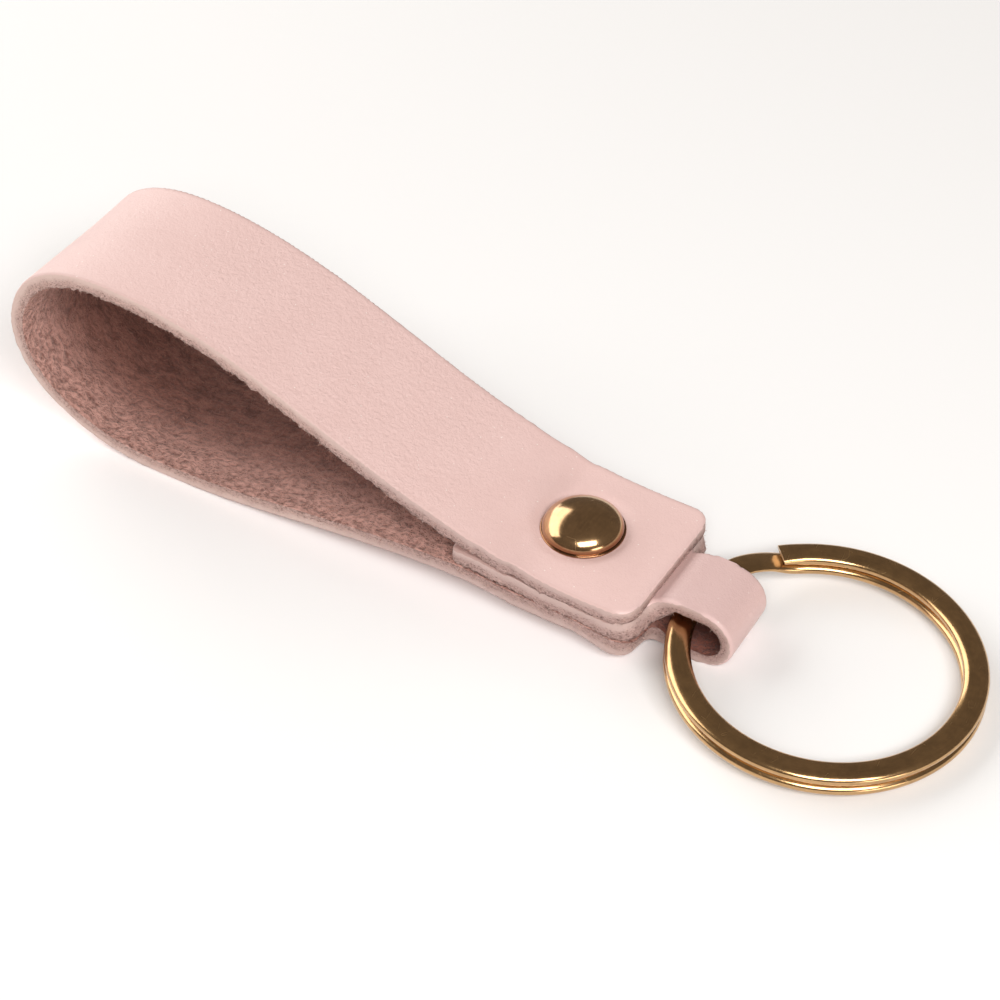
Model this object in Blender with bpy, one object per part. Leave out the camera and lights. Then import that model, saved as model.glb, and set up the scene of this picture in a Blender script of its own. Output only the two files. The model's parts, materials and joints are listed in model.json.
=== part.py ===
"""A leather loop keychain with a riveted strap and a split ring.

One strip of leather, wide at both ends and narrow in the middle, is folded so that its narrow neck
goes round the wire of the split ring.  The long end makes a finger loop, comes back over the neck's
two legs, and a rivet with two caps clamps the three layers.  The ring swings in the neck.

The strap is first laid out in the clamp's own frame: the rivet's axis is z, the top skin over the
rivet is z = 0 and +X points along the strap to the ring.  Then the whole part is tipped and lifted
until it lies on the ground plane z = 0.
"""
import math

import bmesh
import bpy
import numpy as np
from mathutils import Matrix, Vector

# Leather strip
LEATHER_THICKNESS = 0.0016
LAYER_GAP = 0.00005
STRAP_WIDTH = 0.0165
GRAIN_EDGE_BEVEL = 0.0002
END_CORNER_RADIUS = 0.0021
TAB_CORNER_RADIUS = 0.0005

# Loop, measured from the rivet's axis and from the clamped layers
LOOP_LENGTH = 0.0626
CREST_RISE = 0.0135
BELLY_DROP = 0.0037
LOWER_BRANCH_SHARES = (
    (0.1, -0.06), (0.19, -0.05), (0.27, 0.08), (0.36, 0.28), (0.46, 0.54), (0.57, 0.82),
    (0.655, 0.96), (0.74, 1.0), (0.82, 0.845), (0.9, 0.34), (0.965, -0.55),
)
UPPER_BRANCH_SHARES = (
    (1.0, 0.18), (0.984, 0.53), (0.94, 0.795), (0.875, 0.95), (0.77, 1.0), (0.66, 0.95), (0.553, 0.825),
    (0.448, 0.642), (0.342, 0.44), (0.24, 0.257), (0.165, 0.148), (0.12, 0.088), (0.08, 0.036),
)

# Free ends of the layers, measured from the rivet's axis
TAB_LENGTH = 0.00945
TAB_LIFT = 0.0007
TOP_END_LENGTH = 0.0097

# Shoulders, measured from the rivet's axis
SHOULDER_LENGTH = 0.0093
SHOULDER_CORNER_RADIUS = 0.0015
SHOULDER_FILLET_RADIUS = 0.0011
SHOULDER_TAPER = 0.0002

# Neck, its places along the strap measured from the shoulders
NECK_WIDTH = 0.0076
NECK_THICKNESS = 0.0014
NECK_SAG = 0.00028
NECK_CLEARANCE = 0.00003
UPPER_LEG_BEND = 0.0011
UPPER_LEG_RISE = 0.0031
LOWER_LEG_DROP = 0.0041
FOLD_CENTRE = 0.0056
HINGE_SETBACK = 0.0021

# Rivet
RIVET_CAP_DIAMETER = 0.008
RIVET_CAP_HEIGHT = 0.0018
RIVET_BASE_HEIGHT = 0.0013
RIVET_EDGE_ROLL = 0.0005
RIVET_SHEET = 0.00025
RIVET_LIP_WIDTH = 0.0008
RIVET_SOCKET_DIAMETER = 0.003
RIVET_TUBE_WALL = 0.0003
RIVET_CLEARANCE = 0.0001
RIVET_HOLE_CLEARANCE = 0.00015

# Split ring
RING_DIAMETER = 0.03
RING_WIRE_WIDTH = 0.0024
RING_WIRE_HEIGHT = 0.0012
RING_WIRE_ROUNDING = 0.0004
RING_COIL_GAP = 0.00005
RING_UPPER_END_DEGREES = 136.0
RING_LOWER_END_DEGREES = 204.0
RING_STEP_START_DEGREES = 180.0
RING_STEP_END_DEGREES = 138.0

# Facets
CUT_OVERRUN = 0.001
SPLINE_STEPS = 5
ARC_STEPS = 6
FOLD_STEPS = 20
LEG_STEPS = 10
TURN_SEGMENTS = 36
RING_STEP_DEGREES = 4.0
CORNER_STEPS = 3

# Surface colours, linear RGB
PINK_LEATHER = (0.84, 0.58, 0.55, 1.0)
GILT = (0.62, 0.4, 0.2, 1.0)

# The layers under the rivet, flat as far as the caps' lips reach
CLAMP_HALF_LENGTH = RIVET_CAP_DIAMETER / 2 - RIVET_EDGE_ROLL
CLAMP_THICKNESS = 3 * LEATHER_THICKNESS + 2 * LAYER_GAP
TAB_SKIN = -(LEATHER_THICKNESS + LAYER_GAP)
LAYER_SEAM = -(2 * LEATHER_THICKNESS + 1.5 * LAYER_GAP)
RIVET_POST_DIAMETER = RIVET_SOCKET_DIAMETER - 2 * (RIVET_TUBE_WALL + RIVET_CLEARANCE)

# Places along the neck, from the rivet's axis
UPPER_LEG_RISE_START = SHOULDER_LENGTH - UPPER_LEG_BEND
UPPER_LEG_RISE_END = SHOULDER_LENGTH + UPPER_LEG_RISE
LOWER_LEG_DROP_END = SHOULDER_LENGTH + LOWER_LEG_DROP
FOLD_REACH = SHOULDER_LENGTH + FOLD_CENTRE
HINGE_REACH = FOLD_REACH - HINGE_SETBACK

# The two coils of the ring, one on the other
RING_RADIUS = RING_DIAMETER / 2
COIL_PITCH = RING_WIRE_HEIGHT + RING_COIL_GAP
COIL_HALF_HEIGHT = RING_WIRE_HEIGHT + RING_COIL_GAP / 2

# From the hinge's axis to the ring's centre: the axis lies halfway between the wire's outer side in
# the middle of the neck and its inner side at the neck's edges, so the curved wire turns in the
# least room.  The fold's inside clears the circle that the wire's corners turn through.
SWING_RADIUS = (RING_RADIUS + math.sqrt((RING_RADIUS - RING_WIRE_WIDTH) ** 2 - (NECK_WIDTH / 2) ** 2)) / 2
WIRE_CIRCLE_RADIUS = RING_WIRE_ROUNDING + math.hypot(RING_RADIUS - SWING_RADIUS - RING_WIRE_ROUNDING,
                                                     COIL_HALF_HEIGHT - RING_WIRE_ROUNDING)
FOLD_RADIUS = WIRE_CIRCLE_RADIUS + NECK_CLEARANCE + NECK_THICKNESS
FOLD_AXIS_HEIGHT = LAYER_SEAM - NECK_SAG
UPPER_LEG_SKIN = FOLD_AXIS_HEIGHT + FOLD_RADIUS
LOWER_LEG_SKIN = FOLD_AXIS_HEIGHT - FOLD_RADIUS


def clear_scene():
    for old in list(bpy.data.objects):
        bpy.data.objects.remove(old, do_unlink=True)


def finish(color, roughness, metallic, name):
    """A Principled material of one colour."""
    material = bpy.data.materials.new(name)
    material.use_nodes = True
    shader = material.node_tree.nodes["Principled BSDF"]
    shader.inputs["Base Color"].default_value = color
    shader.inputs["Roughness"].default_value = roughness
    shader.inputs["Metallic"].default_value = metallic
    return material


def add_piece(name, mesh_builder, material, smooth_degrees=35.0):
    """Turn a bmesh into a named object with outward normals."""
    bmesh.ops.recalc_face_normals(mesh_builder, faces=mesh_builder.faces)
    if mesh_builder.calc_volume(signed=True) < 0:
        bmesh.ops.reverse_faces(mesh_builder, faces=mesh_builder.faces)
    mesh = bpy.data.meshes.new(name)
    mesh_builder.to_mesh(mesh)
    mesh_builder.free()
    mesh.materials.append(material)
    mesh.shade_smooth()
    mesh.set_sharp_from_angle(angle=math.radians(smooth_degrees))
    piece = bpy.data.objects.new(name, mesh)
    bpy.context.collection.objects.link(piece)
    return piece


def swept_solid(sections):
    """Skin a row of equal cross-sections and close both ends."""
    builder = bmesh.new()
    rows = [[builder.verts.new(point) for point in section] for section in sections]
    count = len(rows[0])
    for row, following in zip(rows, rows[1:]):
        for k in range(count):
            after = (k + 1) % count
            builder.faces.new((row[k], row[after], following[after], following[k]))
    builder.faces.new(rows[0])
    builder.faces.new(rows[-1])
    return builder


def turned_solid(profile):
    """Turn a closed profile of (radius, height) pairs about z; points on the axis stay single."""
    builder = bmesh.new()
    rows = []
    for radius, height in profile:
        if radius == 0:
            rows.append([builder.verts.new((0, 0, height))] * TURN_SEGMENTS)
            continue
        turns = [2 * math.pi * k / TURN_SEGMENTS for k in range(TURN_SEGMENTS)]
        rows.append([builder.verts.new((radius * math.cos(t), radius * math.sin(t), height)) for t in turns])
    for row, following in zip(rows, rows[1:] + rows[:1]):
        if row[0] is row[1] and following[0] is following[1]:
            continue
        for k in range(TURN_SEGMENTS):
            after = (k + 1) % TURN_SEGMENTS
            corners = dict.fromkeys((row[k], row[after], following[after], following[k]))
            builder.faces.new(tuple(corners))
    return builder


def arc(centre, radius, start_degrees, end_degrees, steps):
    """Points on an arc in a plane, both ends included."""
    angles = np.radians(np.linspace(start_degrees, end_degrees, steps + 1))
    return [(centre[0] + radius * math.cos(a), centre[1] + radius * math.sin(a)) for a in angles]


def eased(share):
    """Smooth step from 0 to 1."""
    share = min(max(share, 0.0), 1.0)
    return share * share * (3 - 2 * share)


def clamped_spline(points, start_direction, end_direction):
    """Cubic spline through the points, with given directions at its two ends."""
    knots = np.array(points)
    spans = np.linalg.norm(np.diff(knots, axis=0), axis=1)
    slopes = np.diff(knots, axis=0) / spans[:, None]
    system = np.eye(len(knots))
    known = np.zeros_like(knots)
    known[0], known[-1] = start_direction, end_direction
    for k in range(1, len(knots) - 1):
        before, after = 1 / spans[k - 1], 1 / spans[k]
        system[k, k - 1:k + 2] = before, 2 * (before + after), after
        known[k] = 3 * (slopes[k - 1] * before + slopes[k] * after)
    tangents = np.linalg.solve(system, known)
    curve = []
    for k, span in enumerate(spans):
        for u in np.arange(SPLINE_STEPS) / SPLINE_STEPS:
            curve.append((1 + 2 * u) * (1 - u) ** 2 * knots[k] + u * u * (3 - 2 * u) * knots[k + 1]
                         + span * u * (1 - u) ** 2 * tangents[k] - span * u * u * (1 - u) * tangents[k + 1])
    curve.append(knots[-1])
    return [tuple(point) for point in curve]


def loop_line():
    """The loop's skin in side view, from under the rivet round the tip and back over it."""
    points = [(-CLAMP_HALF_LENGTH, -CLAMP_THICKNESS)]
    points += [(-along * LOOP_LENGTH, -CLAMP_THICKNESS - down * BELLY_DROP)
               for along, down in LOWER_BRANCH_SHARES]
    points += [(-along * LOOP_LENGTH, up * CREST_RISE) for along, up in UPPER_BRANCH_SHARES]
    points.append((-CLAMP_HALF_LENGTH, 0.0))
    return clamped_spline(points, (-1.0, 0.0), (1.0, 0.0))


def shoulder_line():
    """The outline from the wide strap to the neck, as (place along the strap, half width)."""
    half, neck = STRAP_WIDTH / 2, NECK_WIDTH / 2
    outer = arc((SHOULDER_LENGTH - SHOULDER_CORNER_RADIUS, half - SHOULDER_CORNER_RADIUS),
                SHOULDER_CORNER_RADIUS, 90, 0, ARC_STEPS)
    inner = arc((SHOULDER_LENGTH + SHOULDER_TAPER + SHOULDER_FILLET_RADIUS, neck + SHOULDER_FILLET_RADIUS),
                SHOULDER_FILLET_RADIUS, 180, 270, ARC_STEPS)
    return outer + inner


def end_line(length, radius):
    """The outline of a free end with round corners, as (place along the strap, half width)."""
    half = STRAP_WIDTH / 2
    return arc((length - radius, half - radius), radius, 90, 0, ARC_STEPS)


def width_at(place, outline):
    """Half width of the outline at a place along the strap."""
    places, halves = zip(*outline)
    return float(np.interp(place, places, halves))


def neck_share(place):
    """0 on the wide strap, 1 on the neck, eased over the upper leg's rise."""
    return eased((place - UPPER_LEG_RISE_START) / (UPPER_LEG_RISE_END - UPPER_LEG_RISE_START))


def thickness_at(place):
    return LEATHER_THICKNESS + (NECK_THICKNESS - LEATHER_THICKNESS) * neck_share(place)


def leg_places(end):
    """Places along a leg between the clamp and the neck's straight part, with the shoulder's own."""
    shoulder = [place for place, _ in shoulder_line()]
    plain = list(np.linspace(shoulder[-1], end, LEG_STEPS))
    return [CLAMP_HALF_LENGTH] + shoulder + plain[1:]


def tab_skin(distance):
    """The middle layer's skin at a distance from the rivet's axis; its free end stands up a little."""
    return TAB_SKIN + TAB_LIFT * eased((distance - CLAMP_HALF_LENGTH) / (TAB_LENGTH - CLAMP_HALF_LENGTH))


def upper_leg_skin(place):
    return TAB_SKIN + (UPPER_LEG_SKIN - TAB_SKIN) * neck_share(place)


def lower_leg_skin(place):
    drop_share = eased((place - CLAMP_HALF_LENGTH) / (LOWER_LEG_DROP_END - CLAMP_HALF_LENGTH))
    return -CLAMP_THICKNESS + (LOWER_LEG_SKIN + CLAMP_THICKNESS) * drop_share


def strap_stations():
    """Stations along the strip's skin: (x, z, half width, thickness), from the tab to the top end."""
    shoulder = shoulder_line()
    stations = []
    for place, half in reversed(end_line(TAB_LENGTH, TAB_CORNER_RADIUS)):
        stations.append((-place, tab_skin(place), half, LEATHER_THICKNESS))
    for place in np.linspace(TAB_LENGTH - TAB_CORNER_RADIUS, CLAMP_HALF_LENGTH, LEG_STEPS // 2)[1:]:
        stations.append((-place, tab_skin(place), STRAP_WIDTH / 2, LEATHER_THICKNESS))
    for place in leg_places(UPPER_LEG_RISE_END):
        stations.append((place, upper_leg_skin(place), width_at(place, shoulder), thickness_at(place)))
    for x, z in arc((FOLD_REACH, FOLD_AXIS_HEIGHT), FOLD_RADIUS, 90, -90, FOLD_STEPS):
        stations.append((x, z, NECK_WIDTH / 2, NECK_THICKNESS))
    for place in reversed(leg_places(LOWER_LEG_DROP_END)):
        stations.append((place, lower_leg_skin(place), width_at(place, shoulder), thickness_at(place)))
    for x, z in loop_line():
        stations.append((x, z, STRAP_WIDTH / 2, LEATHER_THICKNESS))
    for place, half in end_line(TOP_END_LENGTH, END_CORNER_RADIUS):
        stations.append((place, 0.0, half, LEATHER_THICKNESS))
    return stations


def strap_section(station, normal):
    """Cross-section of the strip: a bevelled grain side and a square flesh side."""
    x, z, half, thickness = station
    corners = ((-half, thickness), (-half, GRAIN_EDGE_BEVEL), (GRAIN_EDGE_BEVEL - half, 0.0),
               (half - GRAIN_EDGE_BEVEL, 0.0), (half, GRAIN_EDGE_BEVEL), (half, thickness))
    return [(x - normal[0] * depth, y, z - normal[1] * depth) for y, depth in corners]


def make_strap(material):
    """The folded leather strip, with the rivet's hole through its three layers."""
    stations = strap_stations()
    line = np.array([(x, z) for x, z, _, _ in stations])
    directions = np.gradient(line, axis=0)
    directions /= np.linalg.norm(directions, axis=1)[:, None]
    normals = np.stack((-directions[:, 1], directions[:, 0]), axis=1)
    sections = [strap_section(station, normal) for station, normal in zip(stations, normals)]
    strap = add_piece("leather_strap", swept_solid(sections), material)

    hole_radius = RIVET_SOCKET_DIAMETER / 2 + RIVET_HOLE_CLEARANCE
    top, bottom = CUT_OVERRUN, -CLAMP_THICKNESS - CUT_OVERRUN
    cutter = add_piece("rivet_hole_cutter",
                       turned_solid(((0, top), (hole_radius, top), (hole_radius, bottom), (0, bottom))), material)
    cutter.hide_render = True
    cutter.display_type = "WIRE"
    cut = strap.modifiers.new("rivet hole", "BOOLEAN")
    cut.operation = "DIFFERENCE"
    cut.solver = "EXACT"
    cut.object = cutter
    return strap, cutter, line


def cap_profile(height):
    """A thin domed cap whose edge rolls under to a flat lip; its lip lies at height 0."""
    roll = RIVET_EDGE_ROLL
    edge_radius = RIVET_CAP_DIAMETER / 2 - roll
    blend = math.degrees(math.atan2(edge_radius, 2 * (height - 2 * roll)))

    def skin(inset):
        edge = arc((edge_radius, roll), roll - inset, blend, -90, 2 * CORNER_STEPS)
        rim_radius, rim_height = edge[0]
        apex = height - inset
        dome = [(rim_radius * k / ARC_STEPS, apex - (apex - rim_height) * (k / ARC_STEPS) ** 2)
                for k in range(ARC_STEPS)]
        return dome + edge

    lip = RIVET_CAP_DIAMETER / 2 - RIVET_LIP_WIDTH
    return skin(0.0) + [(lip, 0.0), (lip, RIVET_SHEET)] + skin(RIVET_SHEET)[::-1]


def tube_profile(tube_radius, length, closed):
    """A flanged tube hanging below height 0; the flange lies inside the cap, on its lip."""
    flange_radius = RIVET_CAP_DIAMETER / 2 - RIVET_EDGE_ROLL
    bore = tube_radius - RIVET_TUBE_WALL
    low = RIVET_SHEET + RIVET_CLEARANCE
    high = low + RIVET_SHEET
    outline = [(bore, high), (flange_radius, high), (flange_radius, low), (tube_radius, low),
               (tube_radius, -length)]
    if not closed:
        return outline + [(bore, -length)]
    head = RIVET_TUBE_WALL - length
    return outline + [(0, -length), (0, head), (bore, head)]


def make_rivet(material):
    """Two domed caps, a flanged socket through the leather and a flanged post inside it."""
    base_height = -CLAMP_THICKNESS - RIVET_CLEARANCE
    cap = add_piece("rivet_cap", turned_solid(cap_profile(RIVET_CAP_HEIGHT)), material)
    socket = add_piece("rivet_socket", turned_solid(tube_profile(
        RIVET_SOCKET_DIAMETER / 2, CLAMP_THICKNESS, closed=False)), material)
    for piece in (cap, socket):
        piece.location.z = RIVET_CLEARANCE

    base = add_piece("rivet_base_cap", turned_solid(cap_profile(RIVET_BASE_HEIGHT)), material)
    post = add_piece("rivet_post", turned_solid(tube_profile(
        RIVET_POST_DIAMETER / 2, CLAMP_THICKNESS, closed=True)), material)
    for piece in (base, post):
        piece.location.z = base_height
        piece.rotation_euler.x = math.pi
    return cap, socket, post, base


def wire_section():
    """Rounded rectangle of the flat wire, as (distance outward, height) about its centre."""
    corner = RING_WIRE_ROUNDING
    half_width, half_height = RING_WIRE_WIDTH / 2 - corner, RING_WIRE_HEIGHT / 2 - corner
    points = []
    for across, up, start in ((1, 1, 0), (-1, 1, 90), (-1, -1, 180), (1, -1, 270)):
        points += arc((across * half_width, up * half_height), corner, start, start + 90, CORNER_STEPS)
    return points


def make_ring(material):
    """Flat wire wound almost twice, stepping down by one coil through the neck; hinge axis at its origin."""
    centre_line_radius = RING_RADIUS - RING_WIRE_WIDTH / 2
    turned = 720 - (RING_LOWER_END_DEGREES - RING_UPPER_END_DEGREES)
    step_start = 360 - (RING_STEP_START_DEGREES - RING_UPPER_END_DEGREES)
    step_end = 360 - (RING_STEP_END_DEGREES - RING_UPPER_END_DEGREES)
    section = wire_section()
    sections = []
    for sweep in np.linspace(0, turned, round(turned / RING_STEP_DEGREES) + 1):
        angle = math.radians(RING_UPPER_END_DEGREES - sweep)
        level = COIL_PITCH * (0.5 - eased((sweep - step_start) / (step_end - step_start)))
        sections.append([((centre_line_radius + out) * math.cos(angle) + SWING_RADIUS,
                          (centre_line_radius + out) * math.sin(angle), level + up) for out, up in section])
    return add_piece("split_ring", swept_solid(sections), material)


def resting_line(line):
    """Tilt and depth of the ground line that touches the loop's belly and the neck's underside."""
    belly, neck = line[line[:, 0] < 0], line[line[:, 0] > 0]
    tilt = 0.0
    for _ in range(4):
        rise = np.array((-math.sin(tilt), math.cos(tilt)))
        low_belly, low_neck = belly[np.argmin(belly @ rise)], neck[np.argmin(neck @ rise)]
        tilt = math.atan2(low_neck[1] - low_belly[1], low_neck[0] - low_belly[0])
    rise = np.array((-math.sin(tilt), math.cos(tilt)))
    return tilt, float(low_belly @ rise)


def ring_dip(hinge_height):
    """How far the ring dips when its far edge lies on the ground and its hinge is at this height."""
    reach = SWING_RADIUS + RING_RADIUS - RING_WIRE_ROUNDING
    half_height = COIL_HALF_HEIGHT - RING_WIRE_ROUNDING
    drop = hinge_height - RING_WIRE_ROUNDING
    return math.asin(drop / math.hypot(reach, half_height)) - math.atan2(half_height, reach)


def footprint_centre(pieces):
    """Middle of the pieces' common box in plan, and the height of its underside."""
    bpy.context.view_layer.update()
    corners = np.array([piece.matrix_world @ vertex.co for piece in pieces for vertex in piece.data.vertices])
    low, high = corners.min(axis=0), corners.max(axis=0)
    return Vector((*((low + high) / 2)[:2], low[2]))


def add_empty(name, parent=None):
    empty = bpy.data.objects.new(name, None)
    bpy.context.collection.objects.link(empty)
    empty.parent = parent
    return empty


def main():
    clear_scene()
    leather = finish(PINK_LEATHER, 0.6, 0.0, "pink_leather")
    gilt = finish(GILT, 0.25, 1.0, "gilt_metal")
    gilt_wire = finish(GILT, 0.22, 1.0, "gilt_wire")

    strap, cutter, line = make_strap(leather)
    rivet = make_rivet(gilt)
    ring = make_ring(gilt_wire)

    root = add_empty("keychain")
    clamp_frame = add_empty("clamp_frame", root)
    tilt, depth = resting_line(line)
    clamp_frame.matrix_basis = Matrix.Translation((0, 0, -depth)) @ Matrix.Rotation(tilt, 4, "Y")
    for piece in (strap, cutter, *rivet):
        piece.parent = clamp_frame

    hinge = add_empty("ring_hinge", root)
    hinge.location = clamp_frame.matrix_basis @ Vector((HINGE_REACH, 0, FOLD_AXIS_HEIGHT))
    ring.parent = hinge
    ring.rotation_euler.y = ring_dip(hinge.location.z)

    pieces = (strap, *rivet, ring)
    root.location = -footprint_centre(pieces)
    bpy.context.view_layer.update()
    print("hinge axis", tuple(hinge.matrix_world.translation))
    print("clamp tilt", math.degrees(tilt), "ring dip", math.degrees(ring.rotation_euler.y))
    print("rivet axis at the top skin", tuple(clamp_frame.matrix_world.translation))
    neck_underside = clamp_frame.matrix_world @ Vector(((LOWER_LEG_DROP_END + FOLD_REACH) / 2, 0, LOWER_LEG_SKIN))
    print("middle of the neck's underside", tuple(neck_underside))
    for piece in pieces:
        corners = np.array([piece.matrix_world @ vertex.co for vertex in piece.data.vertices])
        print(piece.name, "from", corners.min(axis=0).round(5), "to", corners.max(axis=0).round(5))


main()
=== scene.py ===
"""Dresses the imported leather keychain: strap, frayed edges, rivet, split ring, stage and camera.

The strap is laid out as a flat pattern, along its length and across its width, and is then folded
along the line that its skin follows in the clamp's frame: the rivet's axis is z, the top skin over
the rivet is z = 0 and +X points to the ring.  Lengths are in metres.
"""
import json
import math

import bmesh
import bpy
import numpy as np
from mathutils import Matrix, Vector, kdtree


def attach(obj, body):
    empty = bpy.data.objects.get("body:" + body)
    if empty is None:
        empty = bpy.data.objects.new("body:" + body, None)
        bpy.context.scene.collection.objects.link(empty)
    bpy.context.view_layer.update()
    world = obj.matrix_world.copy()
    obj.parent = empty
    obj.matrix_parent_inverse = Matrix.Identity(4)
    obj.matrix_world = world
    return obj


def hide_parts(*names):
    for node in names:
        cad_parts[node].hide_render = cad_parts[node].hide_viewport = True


bl_info = {
    "name": "Leather Keychain",
    "version": (1, 0, 0),
    "blender": (4, 5, 0),
    "location": "3D View > Sidebar > Keychain",
    "description": "Builds a riveted leather loop keychain with a split ring",
    "category": "Object",
}

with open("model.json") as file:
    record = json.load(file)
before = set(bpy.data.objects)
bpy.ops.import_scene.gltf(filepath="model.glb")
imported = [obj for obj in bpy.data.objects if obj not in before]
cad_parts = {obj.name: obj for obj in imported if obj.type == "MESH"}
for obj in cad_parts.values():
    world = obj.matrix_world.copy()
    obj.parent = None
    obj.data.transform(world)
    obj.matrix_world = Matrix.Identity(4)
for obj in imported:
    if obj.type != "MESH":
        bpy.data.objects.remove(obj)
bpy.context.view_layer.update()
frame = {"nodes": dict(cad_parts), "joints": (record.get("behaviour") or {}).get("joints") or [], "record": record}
HINGE = Vector(frame["joints"][0]["pos_m"])
REST_NORMAL = Vector(frame["record"]["mounts"][0]["axis"])
CLAMP_TILT = math.atan2(-REST_NORMAL.x, -REST_NORMAL.z)

# Shape of the strap, in the clamp's frame
LAYER_GAP = 0.00005
LOOP_LENGTH = 0.0628
CREST_RISE = 0.0135
BELLY_DROP = 0.0037
LOWER_BRANCH_SHARES = (
    (0.1, -0.06), (0.19, -0.05), (0.27, 0.08), (0.36, 0.28), (0.46, 0.54), (0.57, 0.82),
    (0.655, 0.96), (0.74, 1.0), (0.82, 0.845), (0.9, 0.34), (0.965, -0.55),
)
UPPER_BRANCH_SHARES = (
    (1.0, 0.18), (0.984, 0.53), (0.94, 0.795), (0.875, 0.95), (0.77, 1.0), (0.66, 0.95), (0.553, 0.825),
    (0.448, 0.642), (0.342, 0.44), (0.24, 0.257), (0.165, 0.148), (0.12, 0.088), (0.08, 0.036),
)
CLAMP_HALF_LENGTH = 0.0035
TAB_LENGTH = 0.00965
TAB_CORNER_RADIUS = 0.0005
TAB_LIFT = 0.0007
TOP_END_LENGTH = 0.0097
END_CORNER_RADIUS = 0.0021
SHOULDER_LENGTH = 0.0093
SHOULDER_CORNER_RADIUS = 0.002
SHOULDER_FILLET_RADIUS = 0.0011
SHOULDER_TAPER = 0.0002
UPPER_LEG_RISE_START = 0.0082
UPPER_LEG_RISE_END = 0.0124
LOWER_LEG_DROP_END = 0.0134
NECK_SAG = 0.00028
FOLD_RADIUS = 0.0032
FOLD_REACH = 0.01507
HINGE_REACH = 0.0128
NECK_SKEW_SHARE = 0.05
TOP_END_THINNING = 0.0002
LEG_SWELL = 0.00055
TAB_LIFT_DELAY_SHARE = 0.05
TAB_LIFT_POWER = 2.2
LOWER_LEG_DROP_POWER = 0.75
NECK_EDGE_BLEND = 0.002

# Places along the clamp and how far the layers' side edges stand over their middle there
EDGE_LIFTS = (
    (-0.008, 0.0), (-0.0064, 0.0002), (-0.005, 0.00027), (-0.004, 0.0005), (-0.0033, 0.00062),
    (-0.0025, 0.00058), (-0.0016, 0.00036), (-0.0008, 0.00016), (0.0003, 0.0), (0.0023, -0.00017),
    (0.00465, -0.00022), (0.0064, -0.00014), (0.0097, -0.0001),
)
EDGE_LIFT_BLUR = 0.0005
FAR_EDGE_LIFT_SHARE = 0.4
TAB_EDGE_LIFT_SHARE = 0.6
TAB_EDGE_LIFT_END = 0.0003
TAB_MARGIN = 0.004
TOP_MARGIN = 0.006
TIP_LIFT = 0.0003

# The skin that the rivet pushes up round its cap, in widths of the dimple's slope
DIMPLE_SWELL_REACH = 1.2
DIMPLE_SWELL_FADE = 1.6
DIMPLE_SWELL_SHARE = 0.1
BASE_DIMPLE_DEPTH = 0.0012
BASE_DIMPLE_REACH = 0.0075

# Smooth steps: where each starts, and over what length it grows from 0 to 1
LEG_SWELL_RISE = (0.004, 0.005)
LEG_SWELL_FALL = (0.0098, 0.0024)
TOP_END_THINNING_RISE = (0.0, 0.003)
TIP_LIFT_ALONG = (0.036, 0.014)
TIP_LIFT_UP = (0.003, 0.006)
CLAMP_DARKENING = (-0.03, 0.018)
# Where the painted shade on the neck starts, and the length over which it grows
NECK_SHADE = (0.0085, 0.003)
PEBBLING_BY_CLAMP = (0.005, 0.012)
PEBBLING_BY_TIP = (0.04, 0.009)
# Painted shade on the clamp's middle layer by its edges, and darkening along the side edges elsewhere
CLAMP_LAYER_SHADE = (0.0074, 0.0005)
EDGE_DARKENING_ELSEWHERE = (0.00785, 0.0003)
FRAY_BY_DEPTH_SHARE = (0.45, 0.35)
NAP_IN_LOOP = (0.002, 0.004)
NAP_BY_EDGE = (-0.0032, 0.0026)

# How strong the leather's masks are
PEBBLING_SHARES = (0.3, 0.7, 0.6)
NAP_SHARES = (0.3, 0.7)
EDGE_DARKENING_SHARE = 0.4
CLAMP_LAYER_MARGIN = 0.001

# The rivet caps' section, in radii of the rim's bead
FOOT_INSET = 0.3
FOOT_RISE = 2.1
GROOVE_INSET = 0.42
GROOVE_DEPTHS = (0.03, 0.12)

# The hollow in a cap: shares of the dome's radius and height, and the metal over it in sheets
HOLLOW_RADII = (0.84, 0.6)
HOLLOW_SIDE_RISE = 0.3
HOLLOW_SHEETS = 1.7

# Fibres and wire; places along the wire are angles about the ring's centre
FIBRE_LEAN = 1.1
WIRE_CUT_REACH = 0.06
WIRE_CUT_DEPTH = 0.001
WIRE_END_SPAN = (0.02, 0.17)
WIRE_STEP_RISE = (-0.15, 0.02)
WIRE_STEP_FALL = (0.26, 0.44)
WIRE_END_THINNING = 0.00026
WIRE_STEP_THINNING = 0.0004
WIRE_CREASE_ANGLE = math.radians(50)

# Fineness of the meshes
PATH_STEP = 0.0001
ROW_STEP = 0.00027
CENTRE_COLUMNS = 44
ROUND_STEPS = 4
COLUMNS = CENTRE_COLUMNS + 2 * ROUND_STEPS + 1
WALL_STEPS = 5
CORNER_STEPS = 16
SHOULDER_STEPS = 60
SPLINE_STEPS = 40
END_STEPS = 120
BLUR_STEPS = 7
TURN_SEGMENTS = 128
DOME_ANGLES = np.radians((*np.linspace(0, 80, 50), 82, 84, 86, 87.5, 88.7, 89.5, 90))
RIM_STEPS = 12
WIRE_POINTS = 440
WIRE_CORNER_POINTS = 7

# Lights: name, direction, distance, size, power and colour
LIGHTS_AIM = (0, 0, 0.01)
SOFTBOXES = (
    ("window", (-0.83, 0.02, 0.53), 0.55, (0.75, 0.36), 2.4, (1.0, 0.98, 0.955)),
    ("softbox", (0.5, -0.46, 0.68), 0.6, (0.42, 0.2), 3.1, (1.0, 0.985, 0.97)),
    ("glow", (-0.9, 0.3, 0.12), 0.6, (0.5, 0.16), 0.45, (1.0, 0.98, 0.955)),
    ("strip", (0.92, -0.39, 0.1), 0.6, (0.26, 0.1), 0.5, (1.0, 0.97, 0.92)),
)
SURROUNDINGS_COLOUR = (1.0, 0.87, 0.76, 1.0)
FLOOR_GAP = 0.00002


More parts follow.
